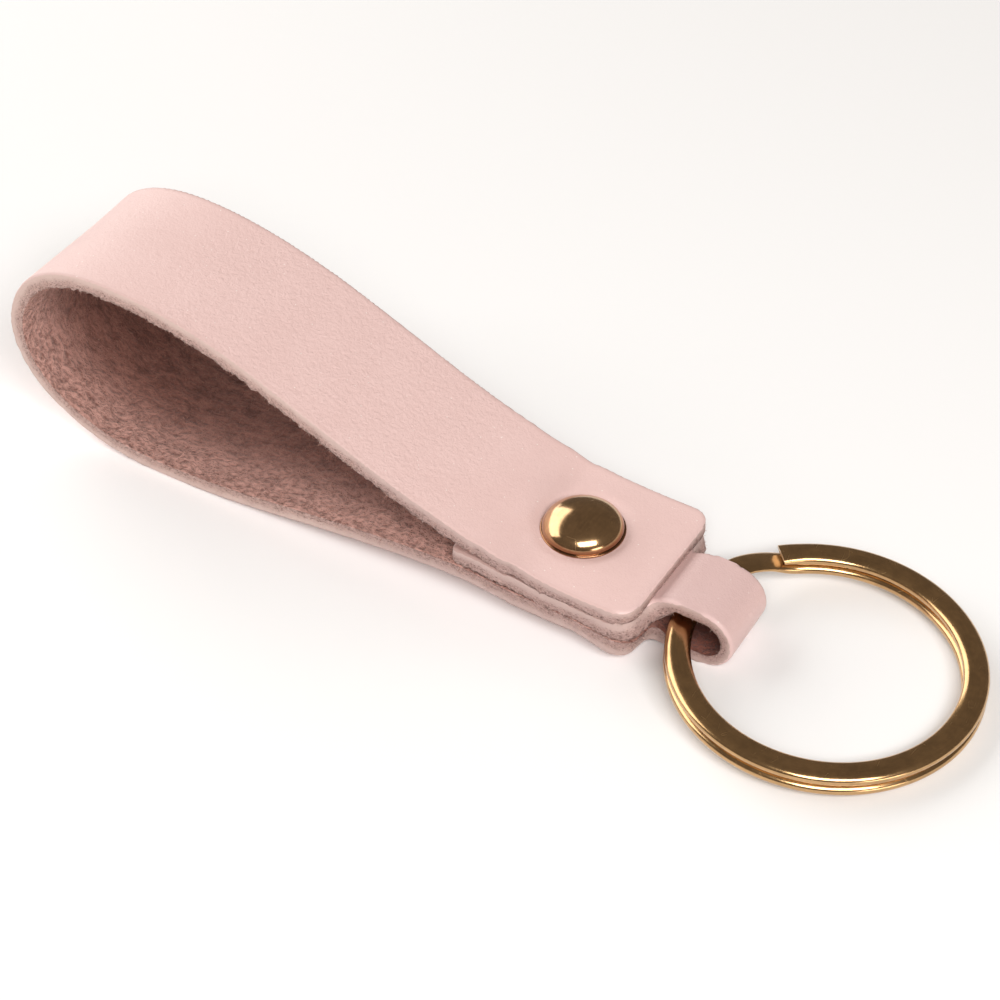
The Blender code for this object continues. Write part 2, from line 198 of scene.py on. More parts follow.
class Value:
    """A node socket that takes part in arithmetic; each operation adds a Math node to its tree."""

    def __init__(self, graph, socket):
        self.graph = graph
        self.socket = socket

    def math(self, operation, *operands):
        inputs = dict(enumerate((self, *operands)))
        return self.graph.node("ShaderNodeMath", {"operation": operation}, inputs)

    def __add__(self, other):
        return self.math("ADD", other)

    def __sub__(self, other):
        return self.math("SUBTRACT", other)

    def __mul__(self, other):
        return self.math("MULTIPLY", other)

    def __truediv__(self, other):
        return self.math("DIVIDE", other)

    def __rsub__(self, other):
        return self.graph.node("ShaderNodeMath", {"operation": "SUBTRACT"}, {0: other, 1: self})

    __radd__ = __add__
    __rmul__ = __mul__

    def between(self, low, high):
        """0 below low, 1 above high, and a smooth step from one to the other."""
        settings = {"interpolation_type": "SMOOTHSTEP"}
        inputs = {"Value": self, "From Min": low, "From Max": high}
        return self.graph.node("ShaderNodeMapRange", settings, inputs)

    def scaled(self, factors):
        """A vector times a fixed vector."""
        return self.graph.node("ShaderNodeVectorMath", {"operation": "MULTIPLY"}, {0: self, 1: factors})

    def plus(self, other):
        """The sum of two vectors."""
        return self.graph.node("ShaderNodeVectorMath", {"operation": "ADD"}, {0: self, 1: other})

    def times(self, factor):
        """A vector times a number."""
        return self.graph.node("ShaderNodeVectorMath", {"operation": "SCALE"}, {0: self, "Scale": factor})

    def parts(self):
        """The X, Y and Z of a vector."""
        split = self.graph.node("ShaderNodeSeparateXYZ", None, {0: self})
        return [Value(self.graph, socket) for socket in split.socket.node.outputs]


class Graph:
    """Adds nodes to a tree: a node's settings come first, then the values or links of its inputs."""

    def __init__(self, tree):
        self.tree = tree

    def node(self, kind, settings=None, inputs=None, output=0):
        node = self.tree.nodes.new(kind)
        for name, value in (settings or {}).items():
            setattr(node, name, value)
        for key, value in (inputs or {}).items():
            self.feed(node.inputs[key], value)
        return Value(self, node.outputs[output])

    def feed(self, socket, value):
        if isinstance(value, Value):
            self.tree.links.new(value.socket, socket)
        else:
            socket.default_value = value

    def feed_shader(self, shader, **inputs):
        """Values or links of a shader's inputs, by their names in lower case with underscores."""
        for name, value in inputs.items():
            self.feed(shader.inputs[name.replace("_", " ").title()], value)

    def attribute(self, name, output="Fac"):
        """What a mesh stores under a name, read by a shader."""
        return self.node("ShaderNodeAttribute", {"attribute_name": name}, None, output)

    def named(self, name, kind="FLOAT"):
        """What a mesh stores under a name, read by a geometry tree."""
        return self.node("GeometryNodeInputNamedAttribute", {"data_type": kind}, {"Name": name})

    def stored(self, geometry, name, value, kind="FLOAT"):
        """The geometry with a value stored at its points."""
        return self.node("GeometryNodeStoreNamedAttribute", {"data_type": kind, "domain": "POINT"},
                         {"Geometry": geometry, "Name": name, "Value": value})

    def object_place(self):
        return self.node("ShaderNodeTexCoord", None, None, "Object")

    def vector(self, **parts):
        return self.node("ShaderNodeCombineXYZ", None, parts)

    def noise(self, place, scale, detail=3.0, roughness=0.5, distortion=0.0):
        return self.node("ShaderNodeTexNoise", None, {
            "Vector": place, "Scale": scale, "Detail": detail, "Roughness": roughness,
            "Distortion": distortion})

    def wander(self, place, scale):
        """A noise of vectors, which bends the places that it is added to."""
        inputs = {"Vector": place, "Scale": scale, "Detail": 2.0}
        return self.node("ShaderNodeTexNoise", None, inputs, "Color")

    def cells(self, place, scale, feature="F1"):
        """Distance to the nearest of scattered points."""
        inputs = {"Vector": place, "Scale": scale}
        return self.node("ShaderNodeTexVoronoi", {"feature": feature}, inputs)

    def bump(self, height, strength, distance):
        inputs = {"Strength": strength, "Distance": distance, "Height": height}
        return self.node("ShaderNodeBump", None, inputs)

    def mix(self, share, low, high, blend="MIX"):
        """A colour from low to high by a share."""
        settings = {"data_type": "RGBA", "blend_type": blend}
        return self.node("ShaderNodeMix", settings, {0: share, 6: low, 7: high}, 2)

    def stained(self, colour, stain):
        """A colour times a fixed one."""
        return self.mix(1.0, colour, stain, "MULTIPLY")


def shade(colour, *factors):
    """A colour times one factor, or times a factor for each of its parts, at most 1."""
    factors = factors if len(factors) == 3 else factors * 3
    return tuple(min(part * factor, 1.0) for part, factor in zip(colour, factors)) + (1.0,)


def new_material(name, roughness, **constants):
    """A Principled material whose fixed values are set on its own sockets."""
    material = bpy.data.materials.new(name)
    material.use_nodes = True
    shader = material.node_tree.nodes["Principled BSDF"]
    graph = Graph(material.node_tree)
    graph.feed_shader(shader, roughness=roughness, **constants)
    return material, shader, graph


def add_object(name, data):
    piece = bpy.data.objects.new(name, data)
    bpy.context.scene.collection.objects.link(piece)
    return piece


def add_mesh(name, vertices, faces):
    mesh = bpy.data.meshes.new(name)
    mesh.from_pydata(vertices, [], faces)
    return add_object(name, mesh)


def fold_axis_height(thickness):
    """The fold's axis lies a sag below the seam of the clamp's middle and lower layers."""
    return -(2 * thickness + 1.5 * LAYER_GAP) - NECK_SAG


def clamp_matrix():
    """From the clamp's frame to the keychain's: the hinge's axis and the neck's rest face place it."""
    height = fold_axis_height(bpy.context.scene.keychain_strap.thickness)
    to_hinge = Matrix.Translation((-HINGE_REACH, 0, -height))
    return Matrix.Translation(HINGE) @ Matrix.Rotation(CLAMP_TILT, 4, "Y") @ to_hinge


def arc(centre, radius, start_degrees, end_degrees, steps):
    """Points on an arc in a plane, both ends included."""
    angles = np.radians(np.linspace(start_degrees, end_degrees, steps + 1))
    return [(centre[0] + radius * math.cos(a), centre[1] + radius * math.sin(a)) for a in angles]


def eased(share):
    """Smooth step from 0 to 1."""
    share = np.clip(share, 0.0, 1.0)
    return share * share * (3 - 2 * share)


def ramp(places, start, length):
    """0 up to the start, 1 past the length beyond it, and a smooth step from one to the other."""
    return eased((places - start) / length)


def rounded_places(rounding):
    """Distances from an edge, close together where the edge is rounded."""
    return rounding * (1 - np.cos(np.linspace(0, math.pi / 2, ROUND_STEPS + 1)))


def clamped_spline(points, start_direction, end_direction, steps):
    """Cubic spline through the points, with given directions at its two ends."""
    knots = np.array(points)
    spans = np.linalg.norm(np.diff(knots, axis=0), axis=1)
    slopes = np.diff(knots, axis=0) / spans[:, None]
    system = np.eye(len(knots))
    known = np.zeros_like(knots)
    known[0], known[-1] = start_direction, end_direction
    for k in range(1, len(knots) - 1):
        before, after = 1 / spans[k - 1], 1 / spans[k]
        system[k, k - 1:k + 2] = before, 2 * (before + after), after
        known[k] = 3 * (slopes[k - 1] * before + slopes[k] * after)
    tangents = np.linalg.solve(system, known)
    curve = []
    for k, span in enumerate(spans):
        for u in np.arange(steps) / steps:
            curve.append((1 + 2 * u) * (1 - u) ** 2 * knots[k] + u * u * (3 - 2 * u) * knots[k + 1]
                         + span * u * (1 - u) ** 2 * tangents[k] - span * u * u * (1 - u) * tangents[k + 1])
    curve.append(knots[-1])
    return curve


class StrapPattern:
    """The strip's flat pattern and the line that its skin follows when it is folded."""

    def __init__(self, settings):
        self.thickness = settings.thickness
        self.neck_thickness = settings.neck_thickness
        self.half = settings.width / 2
        self.neck_half = settings.neck_width / 2
        self.clamp_thickness = 3 * self.thickness + 2 * LAYER_GAP
        self.tab_skin = -(self.thickness + LAYER_GAP)
        self.fold_height = fold_axis_height(self.thickness)
        table = np.array(self.tab() + self.upper_leg() + self.fold() + self.lower_leg()
                         + self.loop() + self.top_end())
        steps = np.linalg.norm(np.diff(table[:, :2], axis=0), axis=1)
        self.along = np.concatenate(([0.0], np.cumsum(steps)))
        keep = np.concatenate(([True], steps > PATH_STEP * 1e-3))
        self.table = table[keep]
        self.along = self.along[keep]
        directions = np.gradient(self.table[:, :2], self.along, axis=0)
        directions /= np.linalg.norm(directions, axis=1)[:, None]
        self.normals = np.stack((-directions[:, 1], directions[:, 0]), axis=1)
        self.length = self.along[-1]

    def shoulder_half(self, place):
        """Half the strip's width by the shoulder: a rounded corner, then a fillet into the neck."""
        outer = arc((SHOULDER_LENGTH - SHOULDER_CORNER_RADIUS, self.half - SHOULDER_CORNER_RADIUS),
                    SHOULDER_CORNER_RADIUS, 90, 0, CORNER_STEPS)
        inner = arc((SHOULDER_LENGTH + SHOULDER_TAPER + SHOULDER_FILLET_RADIUS,
                     self.neck_half + SHOULDER_FILLET_RADIUS), SHOULDER_FILLET_RADIUS, 180, 270, CORNER_STEPS)
        places, halves = zip(*(outer + inner))
        return np.interp(place, places, halves)

    def end_half(self, distance_to_end, radius):
        """Half the strip's width by an end with rounded corners."""
        inset = np.clip(radius - distance_to_end, 0, radius)
        return self.half - radius + np.sqrt(radius ** 2 - inset ** 2)

    def neck_share(self, place):
        return ramp(place, UPPER_LEG_RISE_START, UPPER_LEG_RISE_END - UPPER_LEG_RISE_START)

    def thickness_at(self, place):
        """Thickness of a leg: it swells between the rivet and the shoulder, and is skived at the neck."""
        swell = LEG_SWELL * ramp(place, *LEG_SWELL_RISE) * (1 - ramp(place, *LEG_SWELL_FALL))
        return self.thickness + (self.neck_thickness - self.thickness) * self.neck_share(place) + swell

    def places(self, start, end):
        """Places along a leg, closer together where the shoulder's outline turns in."""
        plain = np.linspace(start, end, round(abs(end - start) / PATH_STEP) + 1)
        turn = np.linspace(SHOULDER_LENGTH - SHOULDER_TAPER, SHOULDER_LENGTH + 2 * SHOULDER_TAPER,
                           SHOULDER_STEPS)
        places = np.unique(np.concatenate((plain, turn[(turn > min(start, end)) & (turn < max(start, end))])))
        return places if end > start else places[::-1]

    def tab(self):
        """The middle layer's free end, which stands up a little."""
        places = -self.places(TAB_LENGTH, CLAMP_HALF_LENGTH)
        share = (-places - CLAMP_HALF_LENGTH) / (TAB_LENGTH - CLAMP_HALF_LENGTH) - TAB_LIFT_DELAY_SHARE
        lift = TAB_LIFT * (1 - (1 - np.clip(share, 0, 1)) ** TAB_LIFT_POWER)
        halves = self.end_half(TAB_LENGTH + places, TAB_CORNER_RADIUS)
        return [(x, self.tab_skin + up, half, self.thickness) for x, up, half in zip(places, lift, halves)]

    def upper_leg(self):
        top = self.fold_height + FOLD_RADIUS
        return [(x, self.tab_skin + (top - self.tab_skin) * self.neck_share(x), self.shoulder_half(x),
                 self.thickness_at(x)) for x in self.places(CLAMP_HALF_LENGTH, UPPER_LEG_RISE_END)]

    def fold(self):
        steps = round(math.pi * FOLD_RADIUS / PATH_STEP)
        return [(x, z, self.neck_half, self.neck_thickness)
                for x, z in arc((FOLD_REACH, self.fold_height), FOLD_RADIUS, 90, -90, steps)]

    def lower_leg(self):
        low = self.fold_height - FOLD_RADIUS
        points = []
        for x in self.places(LOWER_LEG_DROP_END, CLAMP_HALF_LENGTH):
            drop = ramp(x, CLAMP_HALF_LENGTH, LOWER_LEG_DROP_END - CLAMP_HALF_LENGTH) ** LOWER_LEG_DROP_POWER
            skin = -self.clamp_thickness + (low + self.clamp_thickness) * drop
            points.append((x, skin, self.shoulder_half(x), self.thickness_at(x)))
        return points

    def loop(self):
        points = [(-CLAMP_HALF_LENGTH, -self.clamp_thickness)]
        points += [(-along * LOOP_LENGTH, -self.clamp_thickness - down * BELLY_DROP)
                   for along, down in LOWER_BRANCH_SHARES]
        points += [(-along * LOOP_LENGTH, up * CREST_RISE) for along, up in UPPER_BRANCH_SHARES]
        points.append((-CLAMP_HALF_LENGTH, 0.0))
        line = clamped_spline(points, (-1.0, 0.0), (1.0, 0.0), SPLINE_STEPS)
        return [(x, z, self.half, self.thickness) for x, z in line]

    def top_end(self):
        count = round((TOP_END_LENGTH + CLAMP_HALF_LENGTH) / PATH_STEP)
        places = np.linspace(-CLAMP_HALF_LENGTH, TOP_END_LENGTH, count)
        halves = self.end_half(TOP_END_LENGTH - places, END_CORNER_RADIUS)
        thicknesses = self.thickness - TOP_END_THINNING * ramp(places, *TOP_END_THINNING_RISE)
        return [(x, 0.0, half, thick) for x, half, thick in zip(places[1:], halves[1:], thicknesses[1:])]

    def at(self, along):
        """Skin places, normals, half widths and thicknesses at lengths along the strip."""
        columns = [np.interp(along, self.along, column) for column in self.table.T]
        normals = np.stack([np.interp(along, self.along, column) for column in self.normals.T], axis=1)
        normals /= np.linalg.norm(normals, axis=1)[:, None]
        return np.stack(columns[:2], axis=1), normals, columns[2], columns[3]

    def rows(self, step, rounding):
        """Lengths along the strip, evenly spaced along its outline, and close together at its two ends."""
        change = np.hypot(np.diff(self.along), np.diff(self.table[:, 2]))
        travelled = np.concatenate(([0.0], np.cumsum(change)))
        count = round(travelled[-1] / step)
        rows = np.interp(np.linspace(0, travelled[-1], count + 1), travelled, self.along)
        close = rounded_places(rounding)
        inner = rows[(rows > close[-1] + step / 2) & (rows < self.length - close[-1] - step / 2)]
        return np.concatenate((close, inner, self.length - close[::-1]))

    def outline(self):
        """The pattern's outline, as a tree of points on it."""
        side = np.stack((self.along, self.table[:, 2]), axis=1)
        ends = [(along, share * self.table[index, 2]) for along, index in ((0.0, 0), (self.length, -1))
                for share in np.linspace(0, 1, END_STEPS)]
        points = np.concatenate((side, ends))
        tree = kdtree.KDTree(len(points))
        for k, (along, across) in enumerate(points):
            tree.insert((along, across, 0), k)
        tree.balance()
        return tree


def column_places(half, rounding):
    """Places across the strip, close together where its edges are rounded."""
    close = rounded_places(rounding)
    centre = np.linspace(-(half - rounding), half - rounding, CENTRE_COLUMNS + 1)
    return np.concatenate((-(half - close)[:-1], centre, (half - close)[:-1][::-1]))


def press_by_rivet(places, settings):
    """How far the rivet's cap presses the skin in, and how far the skin swells round it."""
    reach = np.hypot(places[:, 0], places[:, 1])
    outside = (reach - settings.dimple_radius) / settings.dimple_width
    pressed = 1 - eased(outside)
    swollen = eased(outside / DIMPLE_SWELL_REACH) * (1 - ramp(outside, DIMPLE_SWELL_REACH, DIMPLE_SWELL_FADE))
    return settings.dimple * (pressed - DIMPLE_SWELL_SHARE * swollen)


def edge_lift(places, half):
    """How far a layer's side edges stand over its middle, by the place along the clamp."""
    along, heights = zip(*EDGE_LIFTS)
    shifts = np.linspace(-EDGE_LIFT_BLUR, EDGE_LIFT_BLUR, BLUR_STEPS)
    lift = np.mean([np.interp(places[:, 0] + shift, along, heights) for shift in shifts], axis=0)
    return lift * (places[:, 1] / half) ** 2 * np.where(places[:, 1] < 0, 1.0, FAR_EDGE_LIFT_SHARE)


def tip_lift(places, half):
    """How far the loop's far edge stands over its crest near the tip."""
    share = ramp(-places[:, 0], *TIP_LIFT_ALONG) * ramp(places[:, 2], *TIP_LIFT_UP)
    return TIP_LIFT * share * np.clip(places[:, 1] / half, 0, 1) ** 2


def fold_strap(settings):
    """The folded strip's grain and flesh points, row by row, and each point's place and depth when flat."""
    pattern = StrapPattern(settings)
    rows = pattern.rows(ROW_STEP, settings.edge_rounding)
    skin, normals, halves, thicknesses = pattern.at(rows)
    tree = pattern.outline()
    grain, flesh, flat_grain, flat_flesh = [], [], [], []
    for place, normal, half, thickness, along in zip(skin, normals, halves, thicknesses, rows):
        narrow = 1 - ramp(half, pattern.neck_half, NECK_EDGE_BLEND)
        rounding = settings.edge_rounding + (settings.neck_rounding - settings.edge_rounding) * narrow
        for across in column_places(half, rounding):
            inset = min(tree.find((along, abs(across), 0))[2], rounding)
            depth = rounding - math.sqrt(max(rounding ** 2 - (rounding - inset) ** 2, 0.0))
            grain.append((place[0] - normal[0] * depth, across, place[1] - normal[1] * depth))
            flesh.append((place[0] - normal[0] * thickness, across, place[1] - normal[1] * thickness))
            flat_grain.append((along, across, depth))
            flat_flesh.append((along, across, thickness))
    return pattern, len(rows), [np.array(points) for points in (grain, flesh, flat_grain, flat_flesh)]


def strap_faces(row_count, count, walls):
    """Quads of the two grids, and of the wall of points round their border; and each quad's side."""
    faces, sides = [], []
    flesh_start = row_count * count
    for row in range(row_count - 1):
        for k in range(count - 1):
            a = row * count + k
            faces.append((a, a + count, a + count + 1, a + 1))
            sides.append(0)
            b = flesh_start + a
            faces.append((b, b + 1, b + count + 1, b + count))
            sides.append(2)
    border = list(range(count))
    border += [row * count + count - 1 for row in range(1, row_count)]
    border += [(row_count - 1) * count + k for k in range(count - 2, -1, -1)]
    border += [row * count for row in range(row_count - 2, 0, -1)]
    wall_start = 2 * flesh_start
    around = len(border)
    for k in range(around):
        after = (k + 1) % around
        here, there = ([border[n]] + [wall_start + level * around + n for level in range(walls)]
                       + [flesh_start + border[n]] for n in (k, after))
        for level in range(walls + 1):
            faces.append((here[level], there[level], there[level + 1], here[level + 1]))
            sides.append(1)
    return faces, sides, border


def add_strap_mesh(settings):
    """The folded strip as one closed mesh, with the masks and places that its materials and fibres read."""
    pattern, row_count, (grain, flesh, flat_grain, flat_flesh) = fold_strap(settings)
    faces, sides, border = strap_faces(row_count, COLUMNS, WALL_STEPS)
    levels = np.arange(1, WALL_STEPS + 1) / (WALL_STEPS + 1)
    walls = [grain[border] + (flesh[border] - grain[border]) * level for level in levels]
    flat_walls = [flat_grain[border] + (flat_flesh[border] - flat_grain[border]) * level for level in levels]

    points = np.concatenate((grain, flesh, *walls))
    flat = np.concatenate((flat_grain, flat_flesh, *flat_walls))
    on_top = flat[:, 0] > pattern.length - (TOP_END_LENGTH + CLAMP_HALF_LENGTH) - TOP_MARGIN
    points[on_top, 2] += edge_lift(points[on_top], pattern.half)
    on_tab = (flat[:, 0] < TAB_LENGTH + TAB_MARGIN) & (points[:, 0] < TAB_EDGE_LIFT_END)
    points[on_tab, 2] += TAB_EDGE_LIFT_SHARE * edge_lift(points[on_tab], pattern.half)
    skin = np.arange(len(points)) < len(grain)
    points[on_top & skin, 2] -= press_by_rivet(points[on_top & skin], settings)
    low = points[:, 2] < -pattern.clamp_thickness + BASE_DIMPLE_DEPTH
    below = skin & low & (np.abs(points[:, 0]) < BASE_DIMPLE_REACH)
    points[below, 2] += press_by_rivet(points[below], settings)
    points[:, 2] += tip_lift(points, pattern.half)
    beyond = np.clip(points[:, 0] - UPPER_LEG_RISE_START, 0, None)
    points[:, 0] -= NECK_SKEW_SHARE * points[:, 1] * np.clip(beyond / FOLD_RADIUS, 0, 1)

    piece = add_mesh("strap_leather", points, faces)
    mesh = piece.data
    mesh.transform(clamp_matrix())
    mesh.attributes.new("flat_place", "FLOAT_VECTOR", "POINT").data.foreach_set("vector", flat.ravel())
    mesh.attributes.new("side", "INT", "FACE").data.foreach_set("value", sides)
    fray, nap = fibre_masks(pattern, points, flat, len(grain), len(flesh))
    masks = {
        "clamp_share": ramp(points[:, 0], *CLAMP_DARKENING),
        "neck_share": ramp(points[:, 0], *NECK_SHADE),
        "pebbling": pebbling(points),
        "depth_share": flat[:, 2] / pattern.at(flat[:, 0])[3],
        "edge_darkening": edge_darkening(points, flat),
        "fray": fray,
        "nap": nap,
    }
    for name, shares in masks.items():
        mesh.attributes.new(name, "FLOAT", "POINT").data.foreach_set("value", shares)
    mesh.shade_smooth()
    mesh.update()
    return piece


def pebbling(points):
    """How strong the pebbles are: full along the loop, and weaker in the clamp and at the loop's tip."""
    least, more_along_loop, less_at_tip = PEBBLING_SHARES
    return (least + more_along_loop * ramp(-points[:, 0], *PEBBLING_BY_CLAMP)
            - less_at_tip * ramp(-points[:, 0], *PEBBLING_BY_TIP))


def edge_darkening(points, flat):
    """Where the grain is darkened: a little all along its side edges, and most on the clamp's middle layer, as
    painted shade in the gap under the top layer.
    """
    across = np.abs(points[:, 1])
    in_clamp = flat[:, 0] < TAB_LENGTH + SHOULDER_LENGTH - CLAMP_LAYER_MARGIN
    elsewhere = EDGE_DARKENING_SHARE * ramp(across, *EDGE_DARKENING_ELSEWHERE)
    return np.where(in_clamp, ramp(across, *CLAMP_LAYER_SHADE), elsewhere)


def fibre_masks(pattern, points, flat, grain_count, flesh_count):
    """Where fibres stand: on the lower part of the cut edges, and on the loop's flesh side."""
    fray = ramp(flat[:, 2] / pattern.thickness, *FRAY_BY_DEPTH_SHARE)
    fray[:grain_count + flesh_count] = 0
    in_loop = ramp(-points[:, 0] - CLAMP_HALF_LENGTH, *NAP_IN_LOOP)
    by_edge = ramp(np.abs(flat[:, 1]) - pattern.half, *NAP_BY_EDGE)
    least, more_by_edge = NAP_SHARES
    nap = np.zeros(len(points))
    on_flesh = slice(grain_count, grain_count + flesh_count)
    nap[on_flesh] = (in_loop * (least + more_by_edge * by_edge))[on_flesh]
    return fray, nap


def grain_material(settings):
    """Pebbled, lightly waxed grain: soft cells with creases between them, and a few bright specks painted in as
    glints.
    """
    material, shader, graph = new_material("pebbled_grain", 0.5, coat_weight=0.08, coat_roughness=0.35)
    place = graph.attribute("flat_place", "Vector")
    pebbling = graph.attribute("pebbling")
    wander = graph.wander(place, 1300.0)
    bent = place.plus(wander.scaled((0.0007, 0.0007, 0.0007)))
    pebbles = graph.cells(bent, 2500.0, "SMOOTH_F1")
    folds = graph.noise(bent.scaled((1.6, 1.0, 1.0)), 2100.0, 2.0, 0.6)
    fine = graph.noise(place, 5600.0, 3.0, 0.6)
    broad = graph.noise(place, 150.0, 3.0)
    height = ((1 - pebbles) * 0.7 + folds * 1.1) * pebbling + fine * 0.4
    tone = broad * 0.5 + fine * 0.3 + ((1 - pebbles) * 0.25 + folds * 0.35 - 0.32) * pebbling + 0.22
    dark = shade(settings.grain_colour, 0.94, 0.91, 0.9)
    colour = graph.mix(tone.between(0.3, 1.05), dark, shade(settings.grain_colour, 1.03))
    # Painted highlights: a few bright specks stand in for glints on the grain.
    speck = graph.cells(place, 1700.0)
    painted_glint = 1 - speck.between(0.06, 0.16)
    rare = graph.noise(place, 1900.0, 0.0).between(0.55, 0.63)
    colour = graph.mix(painted_glint * rare * 0.8, colour, (1.0, 0.9, 0.85, 1.0))
    # Painted shade: the grain is darker on the neck.
    neck_shade = graph.attribute("neck_share")
    darkened = graph.stained(colour, (0.86, 0.85, 0.86, 1.0))
    colour = graph.mix(neck_shade * (0.7 + broad * 0.5), colour, darkened)
    # Painted shade on the clamp's middle layer by its side edges, and a darker band along the side edges
    # elsewhere.
    darkened_edge = graph.attribute("edge_darkening")
    graph.feed_shader(
        shader, base_color=graph.mix(darkened_edge * 0.85, colour, settings.edge_dark),
        roughness=0.56 - fine * 0.2, normal=graph.bump(height, 0.55, 0.00015))
    return material


def edge_material(settings):
    """Cut edge: pressed and smooth by the grain, fibrous and pitted towards the flesh, with painted shade in its
    pits and gaps, and darker towards the clamp.
    """
    material, shader, graph = new_material("cut_edge", 0.75)
    place = graph.attribute("flat_place", "Vector")
    depth = graph.attribute("depth_share")
    layered = place.scaled((1.0, 1.0, 2.6))
    strands = graph.noise(layered, 3100.0, 4.0, 0.7)
    grit = graph.noise(place, 7000.0, 2.0, 0.7)
    pits = graph.cells(layered.plus(strands.scaled((0.0003, 0.0003, 0.0003))), 2300.0)
    wander = (graph.noise(place, 700.0, 3.0, 0.6) - 0.5) * 0.6
    low = (depth + wander).between(0.2, 0.75)
    torn = (depth + wander * 0.4).between(0.8, 1.0)
    # Painted shade: the pits towards the flesh side are painted dark.
    dark = 1 - pits.between(0.08, 0.36)
    fibrous = (strands * 0.6 + grit * 0.5).between(0.35, 0.75)
    colour = graph.mix(fibrous, settings.edge_dark, settings.edge_colour)
    colour = graph.mix(1 - low, colour, settings.edge_pale)
    colour = graph.mix(dark * low * 0.7, colour, settings.pit_colour)
    # Painted shade in the gaps of the torn fibres by the flesh side.
    gaps = graph.noise(place, 2300.0, 2.0, 0.6).between(0.42, 0.6)
    colour = graph.mix(torn * gaps * 0.6, colour, settings.pit_colour)
    # Darker towards the clamp.
    by_clamp = graph.attribute("clamp_share")
    darkened = graph.stained(colour, (0.86, 0.84, 0.86, 1.0))
    colour = graph.mix(by_clamp, colour, darkened)
    height = strands * (0.3 + low * 0.6) + grit * 0.25 - dark * low * 0.7
    graph.feed_shader(shader, base_color=colour, normal=graph.bump(height, 0.9, 0.00016))
    return material


def flesh_material(settings):
    """Suede-like flesh side: nap combed in streaks, with paler tufts by the edges and dark slits; the paleness
    over the near half is painted light, the slits and the darker neck are painted shade.
    """
    material, shader, graph = new_material("suede_flesh", 0.95, sheen_weight=0.1, sheen_roughness=0.5)
    place = graph.attribute("flat_place", "Vector")
    wander = graph.wander(place, 260.0)
    combed = place.plus(wander.scaled((0.0015, 0.0015, 0.0))).scaled((0.55, 1.2, 1.0))
    nap = graph.noise(combed, 2900.0, 4.0, 0.7)
    clumps = graph.noise(combed, 620.0, 3.0, 0.6, 0.5)
    matted = (nap * 0.6 + clumps * 0.55).between(0.34, 0.8)
    colour = graph.mix(matted, settings.flesh_dark, settings.flesh_colour)
    across = place.parts()[1]
    # Painted light: paler over the near half of the flesh, where light comes into the loop, and faintly paler in a
    # band by the far edge.
    by_edge = (across * -1.0).between(-0.001, 0.009) + across.between(0.0066, 0.0082) * 0.4
    bent = place.plus(wander.scaled((0.0012, 0.0012, 0.0))).scaled((0.8, 1.0, 1.0))
    tufts = graph.noise(bent, 1950.0, 3.0, 0.6)
    lit_and_brushed = by_edge * (clumps * 0.6 + tufts * 0.9).between(0.25, 1.0)
    colour = graph.mix(lit_and_brushed, colour, settings.flesh_pale)
    # Painted shade: dark slits where the tufts dip, most over the near half.
    slit = 1 - tufts.between(0.32, 0.45)
    colour = graph.mix(slit * (0.25 + by_edge * 0.35), colour, settings.pore_colour)
    # Painted shade inside the fold of the neck.
    in_neck = graph.attribute("neck_share")
    shaded = graph.stained(colour, (0.62, 0.42, 0.36, 1.0))
    colour = graph.mix(in_neck, colour, shaded)
    height = nap * 0.6 + clumps * 0.5 + tufts.between(0.34, 0.62) * (0.35 + by_edge * 0.5)
    graph.feed_shader(shader, base_color=colour, normal=graph.bump(height, 0.9, 0.00028))
    return material


def new_geometry_tree(name, inputs):
    """A geometry tree with a geometry input and the named inputs, which start at the given values."""
    tree = bpy.data.node_groups.new(name, "GeometryNodeTree")
    tree.interface.new_socket("Geometry", in_out="INPUT", socket_type="NodeSocketGeometry")
    for label, value in inputs.items():
        kind = "NodeSocketInt" if isinstance(value, int) else "NodeSocketFloat"
        tree.interface.new_socket(label, in_out="INPUT", socket_type=kind).default_value = value
    tree.interface.new_socket("Geometry", in_out="OUTPUT", socket_type="NodeSocketGeometry")
    graph = Graph(tree)
    entry = tree.nodes.new("NodeGroupInput")
    given = {socket.name: Value(graph, socket) for socket in entry.outputs if socket.name}
    return tree, graph, given


def close_tree(graph, geometry, materials):
    """Realize Instances, one Set Material for each material, and the output."""
    solid = graph.node("GeometryNodeRealizeInstances", None, {"Geometry": geometry})
    for material, selection in materials:
        inputs = {"Geometry": solid, "Material": material}
        if selection is not None:
            inputs["Selection"] = selection
        solid = graph.node("GeometryNodeSetMaterial", None, inputs)
    exit_node = graph.tree.nodes.new("NodeGroupOutput")
    graph.feed(exit_node.inputs["Geometry"], solid)


def bake_tree(piece, tree):
    """Run a geometry tree on a piece and keep the result as its plain mesh."""
    modifier = piece.modifiers.new(tree.name, "NODES")
    modifier.node_group = tree
    bpy.context.view_layer.update()
    evaluated = piece.evaluated_get(bpy.context.evaluated_depsgraph_get())
    baked = bpy.data.meshes.new_from_object(evaluated)
    piece.modifiers.remove(modifier)
    old = piece.data
    piece.data = baked
    bpy.data.meshes.remove(old)
    piece.data.name = piece.name


